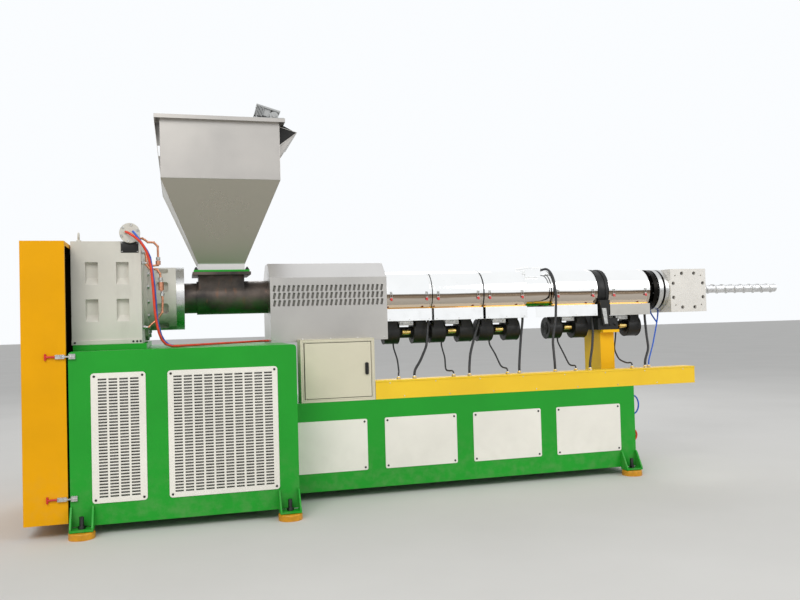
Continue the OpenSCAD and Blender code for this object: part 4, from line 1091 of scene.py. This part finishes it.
def add_clamp_details():
    """Strips and bolts of the barrel clamp, and the dark strap between two covers."""
    a = low("barrel_clamp")
    arm_x = a.x + 0.008
    bolts, strips, strap = Shape(), Shape(), Shape()
    for y, out in both_faces(AXIS_Y - CLAMP_HALF_Y, AXIS_Y + CLAMP_HALF_Y):
        for x in (arm_x + 0.112, arm_x + 0.164):
            bolts.bolt((x, y, a.z + 0.05), out, 0.014)
    for y, out in both_faces(AXIS_Y - STRIP_HALF_Y, AXIS_Y + STRIP_HALF_Y):
        strips.plate([(arm_x + 0.018, y, STRIP_TOP), (arm_x + 0.062, y, STRIP_TOP),
                      (arm_x + 0.076, y, STRIP_FOOT), (arm_x + 0.044, y, STRIP_FOOT)],
                     (0, out.y * 0.002, 0))
    x = low("heater_cover_3").x - STRAP_BEFORE_COVER
    strap.revolve([(0.190, 0), (0.1985, 0.0005), (0.1985, 0.0110), (0.190, 0.0115)],
                  (x, AXIS_Y, AXIS_Z), RIGHT, 96)
    bolts.piece("clamp_bolts", "dark_hardware")
    strips.piece("clamp_strips", "zinc")
    strap.piece("cover_strap", "black_paint")


def add_joint_details():
    bolts = Shape()
    ring_of(bolts.cap_screw, JOINT_X + 0.0495, 0.178, 12, 0.010, LEFT, 0.2)
    bolts.piece("joint_ring_screws", "dark_hardware")


def add_block_details():
    """Socket screws deep in the block's holes, and cap screws round its end."""
    a, b = ends("discharge_block")
    centre = Vector(((a.x + b.x) / 2, a.y + 0.0395, (a.z + b.z) / 2))
    screws, ring = Shape(), Shape()
    for t in turns(8, math.pi / 8):
        screws.revolve([(0.0165, 0), (0.0165, 0.010), (0.007, 0.011), (0.0068, 0.003)],
                       centre + 0.172 * Vector((math.cos(t), 0, math.sin(t))), FRONT, 24)
    ring_of(ring.cap_screw, b.x, 0.095, 8, 0.014, RIGHT, 0.2)
    screws.piece("block_screws", "black_paint")
    ring.piece("block_end_screws", "dark_hardware")


LID_OUT = 0.0015
TRUNK_SCREW_DX = 0.12


def add_trunking_details():
    """Lid with folded edges, its screws, and a plated gland nut under each cable."""
    a, b = ends("cable_trunking")
    top = a.z + 0.150
    screws, lid, glands = Shape(), Shape(), Shape()
    for x in spread(a.x + TRUNK_SCREW_DX, b.x - TRUNK_SCREW_DX, 8):
        screws.pan_screw((x, a.y, top - 0.022), FRONT, 0.005)
        screws.pan_screw((x + TRUNK_SCREW_DX, a.y, a.z + 0.018), FRONT, 0.005)
    x0, x1 = a.x - LID_OUT, b.x + LID_OUT
    lid.box((x0, a.y - LID_OUT, top - 0.001), (x1, b.y + LID_OUT, top + 0.0012), 0.0006)
    for y in (a.y - LID_OUT, b.y + 0.0003):
        lid.box((x0, y, top - 0.014), (x1, y + 0.0012, top), 0.0005)
    for points in (*THIN_CABLES, *THICK_CABLES, BLUE_TUBE):
        at = Vector((points[-1][0] / 1000, points[-1][1] / 1000, top))
        for r, r_top, h, z, sides in ((0.0175, 0.0155, 0.011, 0.0002, 6),
                                      (0.0150, 0.0125, 0.0135, 0.0110, 24)):
            glands.revolve([(r, 0), (r, 0.009), (r_top, h)], at + z * UP, UP, sides)
    screws.piece("trunking_screws", "zinc")
    lid.piece("trunking_lid", "trunking_yellow")
    glands.piece("cable_glands", "zinc")


# Loops at the base's right end: material, upper and lower height, reach and radius
LOOP_Y = -0.20
LOOP_ROUND = 0.7
LOOP_STEPS = 12
LOOPS = {"blue_loop": ("hose_blue", 0.682, 0.509, 0.088, 0.007),
         "red_loop": ("hose_red", 0.375, 0.277, 0.058, 0.009)}


def add_base_hoses():
    """Blue and red hoses that loop out of the long base's right end, each through a grommet."""
    side = high("long_base").x
    for name, (color, z0, z1, reach, radius) in LOOPS.items():
        arc = [(side + 0.0005, LOOP_Y, z0)]
        for k in range(1, LOOP_STEPS):
            t = math.pi * k / LOOP_STEPS
            arc.append((side + reach * math.sin(t) ** LOOP_ROUND, LOOP_Y,
                        (z0 + z1) / 2 + (z0 - z1) / 2 * math.cos(t)))
        arc.append((side + 0.0005, LOOP_Y, z1))
        loop, grommets = Shape(), Shape()
        loop.tube(smooth_path(arc, 3), radius, 12)
        for z in (z0, z1):
            r = radius + 0.006
            grommets.revolve([(r, 0), (r, 0.002), (r - 0.004, 0.005)],
                             (side + 0.0002, LOOP_Y, z), RIGHT, 24)
        loop.piece(name, color)
        grommets.piece(name + "_grommets", "black_plastic")


def add_cabinet_details():
    """The rim of the cabinet and the lock insert of its door."""
    a, b = ends("control_cabinet")
    rim = Shape()
    w = 0.0045
    for inset, depth in ((0.0, 0.0022), (0.016, 0.0014)):
        x0, x1 = a.x + inset, b.x - inset
        z0, z1 = a.z + inset, b.z - inset
        for xa, za, xb, zb in ((x0, z0, x1, z0 + w), (x0, z1 - w, x1, z1),
                               (x0, z0 + w, x0 + w, z1 - w), (x1 - w, z0 + w, x1, z1 - w)):
            rim.box((xa, a.y - depth, za), (xb, a.y - 0.0001, zb), 0.0007)
    rim.piece("cabinet_rim", "cabinet_beige")
    a, b = ends("door_handle")
    lock = Shape()
    x = (a.x + b.x) / 2
    lock.revolve([(0.009, 0), (0.009, 0.002), (0.0065, 0.003), (0.0065, 0.001), (0.002, 0.0008)],
                 (x, a.y, b.z - 0.022), FRONT, 24)
    lock.box((x - 0.009, a.y - 0.006, a.z + 0.012), (x + 0.009, a.y + 0.001, b.z - 0.045),
             0.003, None, 3)
    lock.piece("door_lock", "black_plastic", "cabinet_door")


make_camera()
MATERIALS = {name: maker(name, *values).done() for maker, name, *values in RECIPES}
add_cords()
make_stage()
finish_cad_nodes()
add_panel_screws()
add_grille_backs()
add_gearbox_details()
add_lantern_details()
add_pipe_fittings()
add_hopper_details()
add_terminal_details()
add_cover_latches()
add_cover_rivets()
add_blower_details()
add_clamp_details()
add_joint_details()
add_block_details()
add_trunking_details()
add_base_hoses()
add_cabinet_details()
